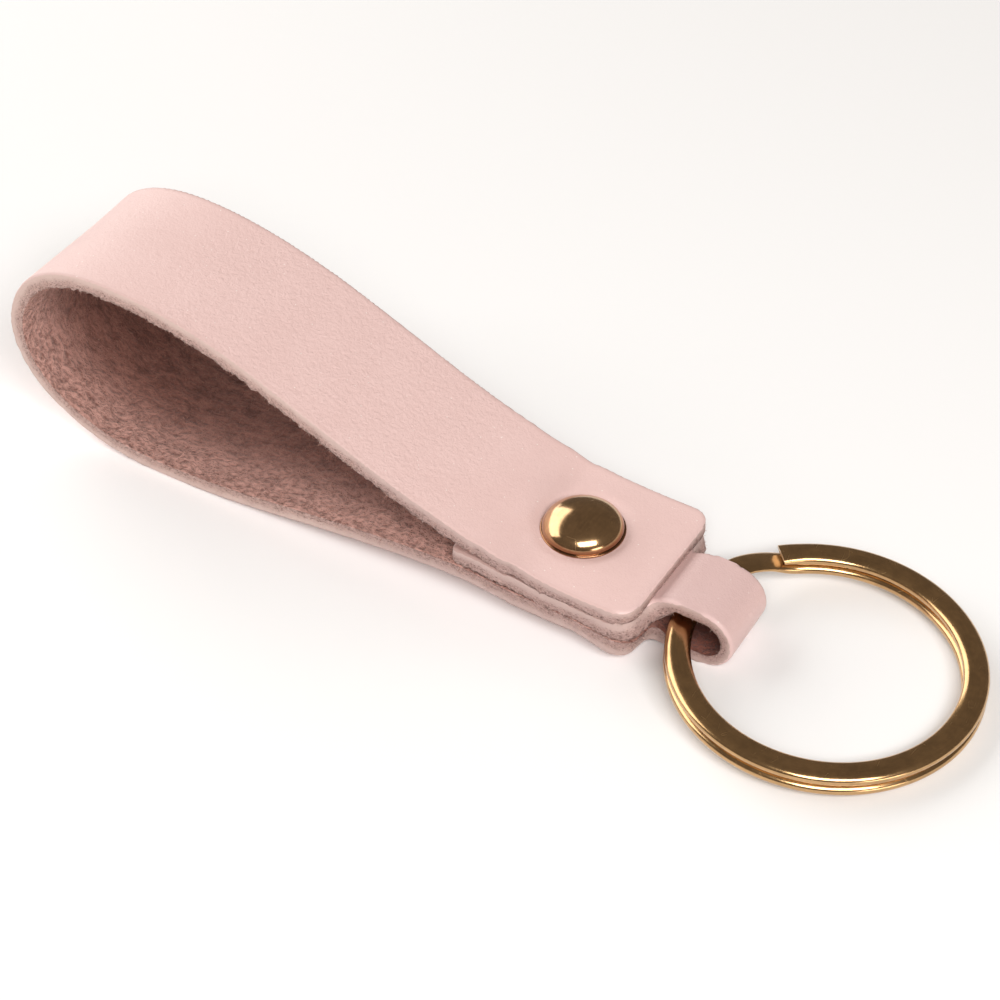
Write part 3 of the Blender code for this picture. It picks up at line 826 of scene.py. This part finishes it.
def relief_tree(settings, materials):
    """Raises swells on the grain, nap on the flesh, and a ragged edge with tufts between them."""
    tree, graph, given = new_geometry_tree("leather relief", {
        "Pebble Height": settings.pebble_height,
        "Nap Height": settings.nap_height,
        "Edge Roughness": settings.edge_roughness,
        "Fringe": settings.fringe,
    })
    place = graph.named("flat_place", "FLOAT_VECTOR")
    normal = graph.node("GeometryNodeInputNormal")
    depth = place.parts()[2]
    on_flesh = depth.between(0.0008, 0.00135)
    on_grain = 1 - depth.between(0.0, 0.0002)
    pebbles = graph.noise(place, 1100.0, 2.0)
    swell = graph.noise(place, 160.0, 1.0)
    nap = graph.noise(place, 1500.0, 3.0, 0.65)
    across = place.parts()[1].math("ABSOLUTE")
    nap_rise = (nap - 0.5) * (2.0 + across.between(0.0055, 0.0082) * 2.0)
    height = on_grain * ((pebbles - 0.5) * 2.0 + (swell - 0.5) * 2.5) * given["Pebble Height"]
    height = height + on_flesh * nap_rise * given["Nap Height"]
    off_grain = 1 - on_grain
    torn = graph.noise(place, 900.0, 4.0, 0.7) - 0.5
    ragged = off_grain * torn * 2.0 * given["Edge Roughness"]
    share = graph.named("depth_share")
    border = share.between(0.6, 1.0) * across.between(0.0074, 0.0081)
    fringe = border * (graph.noise(place, 1750.0, 2.0, 0.6) - 0.44) * 2.0 * given["Fringe"]
    shift = normal.times(height + ragged + fringe)
    moved = graph.node("GeometryNodeSetPosition", None, {"Geometry": given["Geometry"], "Offset": shift})
    side = graph.named("side", "INT")
    selections = [(material, side.math("COMPARE", index, 0.1)) for index, material in enumerate(materials)]
    close_tree(graph, moved, selections)
    return tree


def fibre_tree(name, mask, material, inputs):
    """Short leaning fibres, scattered where the strap's mask is not 0."""
    tree, graph, given = new_geometry_tree(name, inputs)
    place = graph.named("flat_place", "FLOAT_VECTOR")
    masked = graph.named(mask)
    clumps = graph.noise(place, 1100.0, 2.0).between(0.4, 0.62)
    density = given["Density"] * masked * (0.2 + clumps)
    points = graph.node("GeometryNodeDistributePointsOnFaces", None, {
        "Mesh": given["Geometry"], "Density": density, "Seed": given["Seed"]})
    rotation = Value(graph, points.socket.node.outputs["Rotation"])
    fibre = graph.node("GeometryNodeMeshCone", None, {
        "Vertices": 3, "Radius Top": 0.0, "Radius Bottom": given["Thickness"], "Depth": given["Length"]})
    low = graph.vector(X=0 - given["Lean"], Y=0 - given["Lean"], Z=-math.pi)
    high = graph.vector(X=given["Lean"], Y=given["Lean"], Z=math.pi)
    lean = graph.node("FunctionNodeRandomValue", {"data_type": "FLOAT_VECTOR"}, {
        "Min": low, "Max": high, "Seed": given["Seed"]})
    turned = graph.node("FunctionNodeRotateRotation", {"rotation_space": "LOCAL"}, {
        "Rotation": rotation, "Rotate By": lean})
    stretch = graph.node("FunctionNodeRandomValue", {"data_type": "FLOAT"}, {
        2: 0.35, 3: 1.25, "Seed": given["Seed"]}, 1)
    strands = graph.node("GeometryNodeInstanceOnPoints", None, {
        "Points": points, "Instance": fibre, "Rotation": turned, "Scale": stretch})
    close_tree(graph, strands, [(material, None)])
    return tree


def fibre_material(name, full_colour):
    """Loose leather fibres, some of them dark."""
    material, shader, graph = new_material(name, 0.9)
    place = graph.object_place()
    tone = graph.noise(place, 1700.0, 3.0, 0.7).between(0.35, 0.6)
    graph.feed_shader(shader, base_color=graph.mix(tone, shade(full_colour, 0.45), full_colour))
    return material


def wire_tree(material, cut_material, inputs):
    """A flat wire wound almost twice: a line swept round the ring's centre that steps down by one coil."""
    tree, graph, given = new_geometry_tree("wound flat wire", inputs)
    line = graph.node("GeometryNodeCurvePrimitiveLine")
    line = graph.node("GeometryNodeResampleCurve", None, {"Curve": line, "Count": given["Points"]})
    share = graph.node("GeometryNodeSplineParameter", None, None, "Factor")
    sweep = share * given["Turned"]
    angle = given["Start"] - sweep
    level = (0.5 - sweep.between(given["Step Start"], given["Step End"])) * given["Coil Pitch"]
    place = graph.vector(
        X=angle.math("COSINE") * given["Centre Radius"] + given["Swing Radius"],
        Y=angle.math("SINE") * given["Centre Radius"], Z=level)
    path = graph.node("GeometryNodeSetPosition", None, {"Geometry": line, "Position": place})
    path = graph.node("GeometryNodeSetCurveNormal", {"mode": "Z_UP"}, {"Curve": path})
    around = graph.vector(X=angle.math("SINE"), Y=0 - angle.math("COSINE"))
    path = graph.stored(path, "sweep", sweep)
    path = graph.stored(path, "level", level)
    path = graph.stored(path, "around", around, "FLOAT_VECTOR")
    flattening = given["Corner Height"] / given["Corner Width"]
    outline = graph.node("GeometryNodeCurvePrimitiveQuadrilateral", {"mode": "RECTANGLE"}, {
        "Width": given["Wire Width"], "Height": given["Wire Height"] / flattening})
    outline = graph.node("GeometryNodeFilletCurve", {"mode": "POLY"}, {
        "Curve": outline, "Radius": given["Corner Width"], "Count": given["Corner Points"]})
    flat = graph.vector(X=1.0, Y=flattening, Z=1.0)
    outline = graph.node("GeometryNodeTransform", None, {"Geometry": outline, "Scale": flat})
    wire = graph.node("GeometryNodeCurveToMesh", None, {
        "Curve": path, "Profile Curve": outline, "Fill Caps": True})
    sweep_here = graph.named("sweep")
    level_here = graph.named("level")
    around_here = graph.named("around", "FLOAT_VECTOR")
    height = graph.node("GeometryNodeInputPosition").parts()[2] - level_here
    near_cut = 1 - sweep_here.between(0.0, WIRE_CUT_REACH)
    near_tail = sweep_here.between(given["Turned"] - WIRE_CUT_REACH, given["Turned"])
    slant = (near_cut + near_tail) * (height / given["Wire Height"]) * given["Cut Slant"]
    shift = around_here.times(slant)
    step = sweep_here - given["Step Start"]
    thinned = (1 - sweep_here.between(*WIRE_END_SPAN)) * given["End Thinning"]
    at_step = step.between(*WIRE_STEP_RISE) * (1 - step.between(*WIRE_STEP_FALL))
    thinned = thinned + at_step * given["Step Thinning"]
    thinned = thinned * (0.5 - height / given["Wire Height"])
    shift = shift.plus(graph.vector(Z=thinned))
    wire = graph.node("GeometryNodeSetPosition", None, {"Geometry": wire, "Offset": shift})
    wire = graph.stored(wire, "rise", height / given["Wire Height"] + 0.5)
    cut = (sweep_here.math("LESS_THAN", WIRE_CUT_DEPTH)
           + sweep_here.math("GREATER_THAN", given["Turned"] - WIRE_CUT_DEPTH))
    close_tree(graph, wire, [(material, None), (cut_material, cut)])
    return tree


def cut_metal(settings):
    """The wire's sheared ends: pale above, as a painted highlight where the cut catches the light, and dark below.
    """
    material, shader, graph = new_material("sheared_wire", 0.4, metallic=0.7)
    place = graph.object_place()
    rise = graph.attribute("rise")
    streaks = graph.noise(place.scaled((1.0, 1.0, 0.3)), 6000.0, 3.0, 0.6)
    painted_highlight = (rise + (streaks - 0.5) * 0.3).between(0.4, 0.6)
    colour = graph.mix(painted_highlight, shade(settings.colour, 0.25), settings.cut_colour)
    graph.feed_shader(shader, base_color=colour, normal=graph.bump(streaks, 0.6, 0.00004))
    return material


def turned_mesh(name, profile, segments):
    """A closed mesh turned about the z axis from (radius, height) points; radius 0 is a pole."""
    vertices, rings = [], []
    for radius, height in profile:
        if radius == 0:
            rings.append([len(vertices)] * segments)
            vertices.append((0.0, 0.0, height))
        else:
            start = len(vertices)
            rings.append(list(range(start, start + segments)))
            vertices += [(radius * math.cos(a), radius * math.sin(a), height)
                         for a in np.linspace(0, 2 * math.pi, segments, endpoint=False)]
    faces = []
    for ring, after in zip(rings, rings[1:] + rings[:1]):
        for k in range(segments):
            n = (k + 1) % segments
            corners = list(dict.fromkeys((ring[k], after[k], after[n], ring[n])))
            if len(corners) > 2:
                faces.append(corners)
    piece = add_mesh(name, vertices, faces)
    work = bmesh.new()
    work.from_mesh(piece.data)
    bmesh.ops.recalc_face_normals(work, faces=work.faces)
    if work.calc_volume(signed=True) < 0:
        bmesh.ops.reverse_faces(work, faces=work.faces)
    work.to_mesh(piece.data)
    work.free()
    piece.data.shade_smooth()
    return piece


def cap_profile(settings, height):
    """A cap's half section: dome, groove, rolled rim and the hollow underneath."""
    bead = settings.rim_bead
    sunk = -settings.sink
    bead_centre = settings.diameter / 2 - bead
    foot_radius = bead_centre - FOOT_INSET * bead
    foot = sunk + FOOT_RISE * bead
    power = 2 / settings.squareness
    dome = [(foot_radius * max(math.sin(a), 0.0) ** power, foot + height * max(math.cos(a), 0.0) ** power)
            for a in DOME_ANGLES]
    groove = [(foot_radius, foot - GROOVE_DEPTHS[0] * bead),
              (bead_centre - GROOVE_INSET * bead, foot - GROOVE_DEPTHS[1] * bead)]
    rim = arc((bead_centre, sunk + bead), bead, 105, -90, RIM_STEPS)
    sheet = settings.sheet
    lip = bead_centre + bead - settings.lip_width
    under = [(lip, sunk), (lip, sunk + sheet),
             (foot_radius * HOLLOW_RADII[0], foot + height * HOLLOW_SIDE_RISE),
             (foot_radius * HOLLOW_RADII[1], foot + height - HOLLOW_SHEETS * sheet)]
    return dome + groove + rim + under + [(0.0, foot + height - sheet)]


def brushed_gilt(name, settings, centre, along_ring):
    """Dark gilt plating with fine brushing, faint smears and small scratches."""
    material, shader, graph = new_material(
        name, settings.roughness, metallic=1.0, coat_weight=0.5, coat_roughness=0.12)
    place = graph.object_place()
    place = graph.node("ShaderNodeMapping", None, {"Vector": place, "Location": tuple(-c for c in centre)})
    smear = graph.noise(place, 420.0, 4.0, 0.6, 0.3)
    grime = graph.noise(place, 1500.0, 3.0, 0.6)
    if along_ring:
        x, y, z = place.parts()
        radius = (x * x + y * y).math("SQRT")
        lines_at = graph.vector(X=radius * 3.0, Y=z * 3.0, Z=smear * 0.002)
        lines = graph.noise(lines_at, 2600.0, 4.0, 0.7)
    else:
        lines = graph.noise(place.scaled((1.0, 0.12, 1.0)), 5200.0, 3.0, 0.6)
    scratch = 1 - graph.cells(place.scaled((1.0, 0.35, 1.0)), 620.0, "DISTANCE_TO_EDGE").between(0.0, 0.012)
    scratch = scratch * graph.noise(place, 800.0, 1.0).between(0.55, 0.65)
    tint = (smear * 0.45 + grime * 0.25 + lines * 0.3).between(0.36, 0.64)
    colour = graph.mix(tint, shade(settings.colour, 0.74), settings.colour)
    if not along_ring:
        # Painted shade: the rivet's lowest band round the rim is darkened to dim the reflection in its steep side.
        rise = place.parts()[2]
        by_rim = (1 - rise.between(0.0002, 0.0008)) * rise.between(-0.001, -0.0006)
        shaded_rim = graph.stained(colour, (0.55, 0.42, 0.38, 1.0))
        colour = graph.mix(by_rim, colour, shaded_rim)
    rough = settings.roughness - 0.05 + smear * 0.1 + scratch * 0.15
    height = lines * settings.brushing + grime * 0.15 - scratch * 0.4
    graph.feed_shader(shader, base_color=colour, roughness=rough, normal=graph.bump(height, 0.25, 0.00001))
    return material


def number_property(name, description, default, **details):
    return bpy.props.FloatProperty(name=name, description=description, default=default, **details)


def length_property(name, description, default):
    return number_property(name, description, default, unit="LENGTH", precision=6)


def angle_property(name, description, default):
    return number_property(name, description, default, subtype="ANGLE")


def share_property(name, description, default):
    return number_property(name, description, default, min=0.0, max=1.0)


def colour_property(name, description, default):
    return bpy.props.FloatVectorProperty(
        name=name, description=description, default=(*default, 1.0), subtype="COLOR", size=4,
        min=0.0, max=1.0)


class KeychainStrapSettings(bpy.types.PropertyGroup):
    """Sizes and colours of the leather strip."""

    width: length_property("Width", "Width of the strip", 0.0165)
    thickness: length_property("Thickness", "Thickness of the leather", 0.0016)
    neck_width: length_property("Neck width", "Width of the neck that holds the ring", 0.0076)
    neck_thickness: length_property("Neck thickness", "Thickness of the skived neck", 0.00125)
    edge_rounding: length_property("Edge rounding", "Radius of the grain side's edge", 0.00028)
    neck_rounding: length_property("Neck rounding", "Radius of the grain side's edge at the neck", 0.00038)
    dimple: length_property("Dimple", "How deep the rivet presses into the leather", 0.0002)
    dimple_radius: length_property("Dimple radius", "Where the pressed skin starts to rise", 0.004)
    dimple_width: length_property("Dimple width", "Width of the pressed skin's slope", 0.0012)
    pebble_height: length_property("Pebble height", "Height of the grain's swells", 0.00002)
    nap_height: length_property("Nap height", "Height of the flesh side's nap", 0.00011)
    edge_roughness: length_property("Edge roughness", "Unevenness of the cut edges", 0.00009)
    fringe: length_property("Fringe", "Height of the tufts along the flesh side's border", 0.00028)
    grain_colour: colour_property("Grain", "Colour of the dyed grain", (0.85, 0.615, 0.585))
    edge_colour: colour_property("Cut edge", "Lighter colour of the cut edge", (0.68, 0.47, 0.42))
    edge_pale: colour_property("Cut edge, pale", "Colour of the cut edge by the grain", (0.66, 0.49, 0.44))
    edge_dark: colour_property("Cut edge, dark", "Darker colour of the cut edge", (0.4, 0.25, 0.22))
    # Dark colour painted as shade in the cut edge's pits and gaps
    pit_colour: colour_property("Pits", "Colour in the cut edge's pits", (0.15, 0.075, 0.06))
    flesh_colour: colour_property("Flesh", "Lighter colour of the flesh side", (0.33, 0.145, 0.11))
    # Pale colour painted over the flesh's near half as light, and in a faint band by its far edge
    flesh_pale: colour_property("Flesh, brushed", "Colour of the flesh side by its edges", (0.69, 0.39, 0.33))
    flesh_dark: colour_property("Flesh, dark", "Darker colour of the flesh side", (0.1, 0.033, 0.023))
    pore_colour: colour_property("Pores", "Colour in the pores and pits", (0.14, 0.06, 0.046))


class KeychainFibreSettings(bpy.types.PropertyGroup):
    """Fibres along the cut edges and on the flesh side."""

    fray_density: number_property("Fray density", "Fibres per square metre of cut edge", 34e6, min=0.0)
    fray_length: length_property("Fray length", "Length of the fibres along the cut edges", 0.00034)
    nap_density: number_property("Nap density", "Fibres per square metre of flesh side", 10e6, min=0.0)
    nap_length: length_property("Nap length", "Length of the fibres on the flesh side", 0.0005)
    thickness: length_property("Thickness", "Radius of a fibre at its root", 0.000024)
    seed: bpy.props.IntProperty(name="Seed", description="Seed of the fibres' places", default=7)
    edge_colour: colour_property(
        "Edge fibres", "Colour of the fibres along the cut edges", (0.68, 0.48, 0.42))
    flesh_colour: colour_property(
        "Flesh fibres", "Colour of the fibres on the flesh side", (0.45, 0.24, 0.19))


class KeychainRivetSettings(bpy.types.PropertyGroup):
    """Sizes and finish of the double-cap rivet."""

    diameter: length_property("Diameter", "Diameter of the caps", 0.00828)
    cap_height: length_property("Cap height", "Height of the upper cap's dome over its rim", 0.0021)
    base_height: length_property("Base height", "Height of the lower cap's dome over its rim", 0.0014)
    squareness: number_property(
        "Squareness", "Power of the domes' outline: 2 is an ellipse, more is squarer", 2.0, min=1.0)
    sink: length_property("Sink", "How deep the rim sits in the pressed leather", 0.00026)
    rim_bead: length_property("Rim bead", "Radius of the rim's rolled bead", 0.00015)
    sheet: length_property("Sheet", "Thickness of the stamped sheet", 0.00025)
    lip_width: length_property("Lip width", "Width of the lip that is rolled under", 0.0008)
    colour: colour_property("Colour", "Colour of the plating", (0.66, 0.405, 0.2))
    roughness: share_property("Roughness", "Roughness of the plating", 0.16)
    brushing: share_property("Brushing", "Strength of the fine brushing", 0.3)


class KeychainRingSettings(bpy.types.PropertyGroup):
    """Sizes and finish of the split ring."""

    diameter: length_property("Diameter", "Outer diameter of the ring", 0.03)
    wire_width: length_property("Wire width", "Width of the flat wire", 0.00247)
    wire_height: length_property("Wire height", "Height of one coil", 0.0012)
    corner_width: length_property("Corner width", "Width of the wire's rounded corners", 0.00092)
    corner_height: length_property("Corner height", "Height of the wire's rounded corners", 0.00055)
    gap: length_property("Gap", "Gap between the coils", 0.00005)
    upper_end: angle_property("Upper end", "Angle of the upper coil's cut end", math.radians(136))
    lower_end: angle_property("Lower end", "Angle of the lower coil's cut end", math.radians(204))
    step_start: angle_property("Step start", "Where the wire leaves the upper coil", math.radians(157))
    step_end: angle_property("Step end", "Where the wire reaches the lower coil", math.radians(127))
    cut_slant: length_property("Cut slant", "How far the cut ends lean over the wire's height", -0.0002)
    colour: colour_property("Colour", "Colour of the plating", (0.66, 0.405, 0.185))
    # Pale colour painted on the upper part of the cut ends as a highlight
    cut_colour: colour_property("Cut ends", "Colour of the wire's sheared ends", (0.9, 0.74, 0.55))
    roughness: share_property("Roughness", "Roughness of the plating", 0.2)
    brushing: share_property("Brushing", "Strength of the brushing along the wire", 0.7)


class KeychainStageSettings(bpy.types.PropertyGroup):
    """Floor, lights and camera."""

    floor_colour: colour_property("Floor", "Colour of the floor", (0.98, 0.985, 0.99))
    floor_size: length_property("Floor size", "Side of the floor", 6.0)
    surroundings: number_property("Surroundings", "Brightness of the surroundings", 0.17, min=0.0)
    camera_azimuth: angle_property("Camera azimuth", "Turn of the camera about the rivet's axis", 0.56651882)
    camera_elevation: angle_property(
        "Camera elevation", "Height of the camera over the clamp's plane", 0.7428019)
    camera_distance: length_property("Camera distance", "Distance from the camera to its target", 0.264477)
    view_width: length_property("View width", "Width of the picture at the camera's target", 0.09492917)
    target_right: length_property("Target right", "Target's place to the right of the rivet", -0.00788800645)
    target_up: length_property("Target up", "Target's place above the rivet in the picture", 0.00259087869)


class KEYCHAIN_OT_strap(bpy.types.Operator):
    """Fold the leather strip round the ring and under the rivet, and roughen its skin, flesh and edges"""

    bl_idname = "keychain.build_strap"
    bl_label = "Build strap"

    def execute(self, context):
        settings = context.scene.keychain_strap
        piece = add_strap_mesh(settings)
        materials = [grain_material(settings), edge_material(settings), flesh_material(settings)]
        bake_tree(piece, relief_tree(settings, materials))
        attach(piece, "strap")
        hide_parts("leather_strap")
        return {"FINISHED"}


class KEYCHAIN_OT_fibres(bpy.types.Operator):
    """Scatter short fibres along the cut edges and over the flesh side of the loop"""

    bl_idname = "keychain.build_fibres"
    bl_label = "Build fibres"

    def execute(self, context):
        settings = context.scene.keychain_fibres
        strap = bpy.data.objects["strap_leather"]
        edge = fibre_material("edge_fibres", settings.edge_colour)
        flesh = fibre_material("flesh_fibres", settings.flesh_colour)
        kinds = (
            ("strap_edge_fibres", "fray", edge, settings.fray_density, settings.fray_length),
            ("strap_flesh_nap", "nap", flesh, settings.nap_density, settings.nap_length),
        )
        for number, (name, mask, material, density, length) in enumerate(kinds):
            piece = add_object(name, strap.data.copy())
            bake_tree(piece, fibre_tree(name.replace("_", " "), mask, material, {
                "Density": density,
                "Length": length,
                "Thickness": settings.thickness,
                "Lean": FIBRE_LEAN,
                "Seed": settings.seed + number,
            }))
            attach(piece, "strap")
        return {"FINISHED"}


class KEYCHAIN_OT_rivet(bpy.types.Operator):
    """Turn the rivet's two domed caps and finish its socket and post"""

    bl_idname = "keychain.build_rivet"
    bl_label = "Build rivet"

    def execute(self, context):
        settings = context.scene.keychain_rivet
        thickness = StrapPattern(context.scene.keychain_strap).clamp_thickness
        axis = clamp_matrix()
        material = brushed_gilt("rivet_gilt", settings, axis.translation, False)
        under = axis @ Matrix.Translation((0, 0, -thickness)) @ Matrix.Rotation(math.pi, 4, "X")
        for node, height, matrix in (
                ("rivet_cap", settings.cap_height, axis), ("rivet_base_cap", settings.base_height, under)):
            piece = turned_mesh(node + "_dome", cap_profile(settings, height), TURN_SEGMENTS)
            piece.data.materials.append(material)
            piece.data.transform(matrix)
            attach(piece, "strap")
            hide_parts(node)
        for node in ("rivet_socket", "rivet_post"):
            inner = frame["nodes"][node]
            inner.data.materials.clear()
            inner.data.materials.append(material)
        return {"FINISHED"}


def ring_matrix(settings, swing_radius):
    """Places the ring at its hinge, dipped until its far edge lies on the ground."""
    reach = swing_radius + settings.diameter / 2 - settings.corner_width
    half_height = settings.wire_height + settings.gap / 2 - settings.corner_height
    drop = HINGE.z - settings.corner_height
    dip = math.asin(drop / math.hypot(reach, half_height)) - math.atan2(half_height, reach)
    return Matrix.Translation(HINGE) @ Matrix.Rotation(dip, 4, "Y")


class KEYCHAIN_OT_ring(bpy.types.Operator):
    """Wind the flat wire of the split ring through the neck"""

    bl_idname = "keychain.build_ring"
    bl_label = "Build ring"

    def execute(self, context):
        settings = context.scene.keychain_ring
        radius = settings.diameter / 2
        neck_half = context.scene.keychain_strap.neck_width / 2
        inner = math.sqrt((radius - settings.wire_width) ** 2 - neck_half ** 2)
        swing_radius = (radius + inner) / 2
        matrix = ring_matrix(settings, swing_radius)
        centre = matrix @ Vector((swing_radius, 0, 0))
        material = brushed_gilt("wire_gilt", settings, centre, True)
        piece = add_mesh("ring_wire", [(0.0, 0.0, 0.0)], [])
        whole = 2 * math.pi
        bake_tree(piece, wire_tree(material, cut_metal(settings), {
            "Centre Radius": radius - settings.wire_width / 2,
            "Swing Radius": swing_radius,
            "Wire Width": settings.wire_width,
            "Wire Height": settings.wire_height,
            "Corner Width": settings.corner_width,
            "Corner Height": settings.corner_height,
            "Coil Pitch": settings.wire_height + settings.gap,
            "Start": settings.upper_end,
            "Turned": 2 * whole - (settings.lower_end - settings.upper_end),
            "Step Start": whole - (settings.step_start - settings.upper_end),
            "Step End": whole - (settings.step_end - settings.upper_end),
            "Cut Slant": settings.cut_slant,
            "Points": WIRE_POINTS,
            "End Thinning": WIRE_END_THINNING,
            "Step Thinning": WIRE_STEP_THINNING,
            "Corner Points": WIRE_CORNER_POINTS,
        }))
        piece.data.transform(matrix)
        piece.data.shade_smooth()
        piece.data.set_sharp_from_angle(angle=WIRE_CREASE_ANGLE)
        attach(piece, "ring")
        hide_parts("split_ring")
        return {"FINISHED"}


def camera_axes(settings):
    """Right, up and back of the camera in the clamp's frame."""
    turn, rise = settings.camera_azimuth, settings.camera_elevation
    right = Vector((math.cos(turn), math.sin(turn), 0))
    up = Vector((-math.sin(turn) * math.sin(rise), math.cos(turn) * math.sin(rise), math.cos(rise)))
    return right, up, right.cross(up)


def add_camera(settings):
    right, up, back = camera_axes(settings)
    target = settings.target_right * right + settings.target_up * up
    data = bpy.data.cameras.new("camera")
    data.sensor_width = 36.0
    data.lens = data.sensor_width * settings.camera_distance / settings.view_width
    data.clip_start = 0.01
    data.clip_end = 20.0
    camera = add_object("camera", data)
    turn = Matrix((right, up, back)).transposed().to_4x4()
    camera.matrix_world = clamp_matrix() @ Matrix.Translation(target + settings.camera_distance * back) @ turn
    bpy.context.scene.camera = camera


def add_softbox(name, direction, distance, size, power, colour):
    """An area light in a direction from the keychain, turned to face it."""
    data = bpy.data.lights.new(name, "AREA")
    data.shape = "RECTANGLE"
    data.size, data.size_y = size
    data.energy = power
    data.color = colour
    lamp = add_object(name, data)
    towards = Vector(direction).normalized()
    lamp.location = Vector(LIGHTS_AIM) + towards * distance
    lamp.rotation_euler = towards.to_track_quat("Z", "Y").to_euler()


class KEYCHAIN_OT_stage(bpy.types.Operator):
    """Lay the pale floor, hang the soft lights and place the camera"""

    bl_idname = "keychain.build_stage"
    bl_label = "Build stage"

    def execute(self, context):
        settings = context.scene.keychain_stage
        half = settings.floor_size / 2
        material, shader, graph = new_material("pale_floor", 0.85)
        place = graph.object_place()
        mottle = graph.noise(place, 6.0, 2.0)
        colour = graph.mix(mottle, shade(settings.floor_colour, 0.985), settings.floor_colour)
        graph.feed_shader(shader, base_color=colour)
        corners = [(x * half, y * half, -FLOOR_GAP) for x, y in ((-1, -1), (1, -1), (1, 1), (-1, 1))]
        floor = add_mesh("floor", corners, [(0, 1, 2, 3)])
        floor.data.materials.append(material)
        world = bpy.data.worlds.new("surroundings")
        world.use_nodes = True
        background = world.node_tree.nodes["Background"]
        background.inputs["Color"].default_value = SURROUNDINGS_COLOUR
        background.inputs["Strength"].default_value = settings.surroundings
        context.scene.world = world
        context.scene.view_settings.view_transform = "Standard"
        for lamp in SOFTBOXES:
            add_softbox(*lamp)
        add_camera(settings)
        return {"FINISHED"}


SETTINGS = (
    ("keychain_strap", KeychainStrapSettings), ("keychain_fibres", KeychainFibreSettings),
    ("keychain_rivet", KeychainRivetSettings), ("keychain_ring", KeychainRingSettings),
    ("keychain_stage", KeychainStageSettings),
)
OPERATORS = (KEYCHAIN_OT_strap, KEYCHAIN_OT_fibres, KEYCHAIN_OT_rivet, KEYCHAIN_OT_ring, KEYCHAIN_OT_stage)


class KEYCHAIN_PT_sidebar(bpy.types.Panel):
    """Sizes, colours and building steps of the keychain"""

    bl_idname = "KEYCHAIN_PT_sidebar"
    bl_label = "Leather keychain"
    bl_space_type = "VIEW_3D"
    bl_region_type = "UI"
    bl_category = "Keychain"

    def draw(self, context):
        for (name, group), operator in zip(SETTINGS, OPERATORS):
            box = self.layout.box()
            box.operator(operator.bl_idname)
            for field in group.__annotations__:
                box.prop(getattr(context.scene, name), field)


def register():
    for name, group in SETTINGS:
        bpy.utils.register_class(group)
        setattr(bpy.types.Scene, name, bpy.props.PointerProperty(type=group))
    for cls in (*OPERATORS, KEYCHAIN_PT_sidebar):
        bpy.utils.register_class(cls)


def unregister():
    for cls in (KEYCHAIN_PT_sidebar, *reversed(OPERATORS)):
        bpy.utils.unregister_class(cls)
    for name, group in reversed(SETTINGS):
        delattr(bpy.types.Scene, name)
        bpy.utils.unregister_class(group)


def main():
    register()
    bpy.ops.keychain.build_strap()
    bpy.ops.keychain.build_fibres()
    bpy.ops.keychain.build_rivet()
    bpy.ops.keychain.build_ring()
    bpy.ops.keychain.build_stage()


if __name__ == "__main__":
    main()
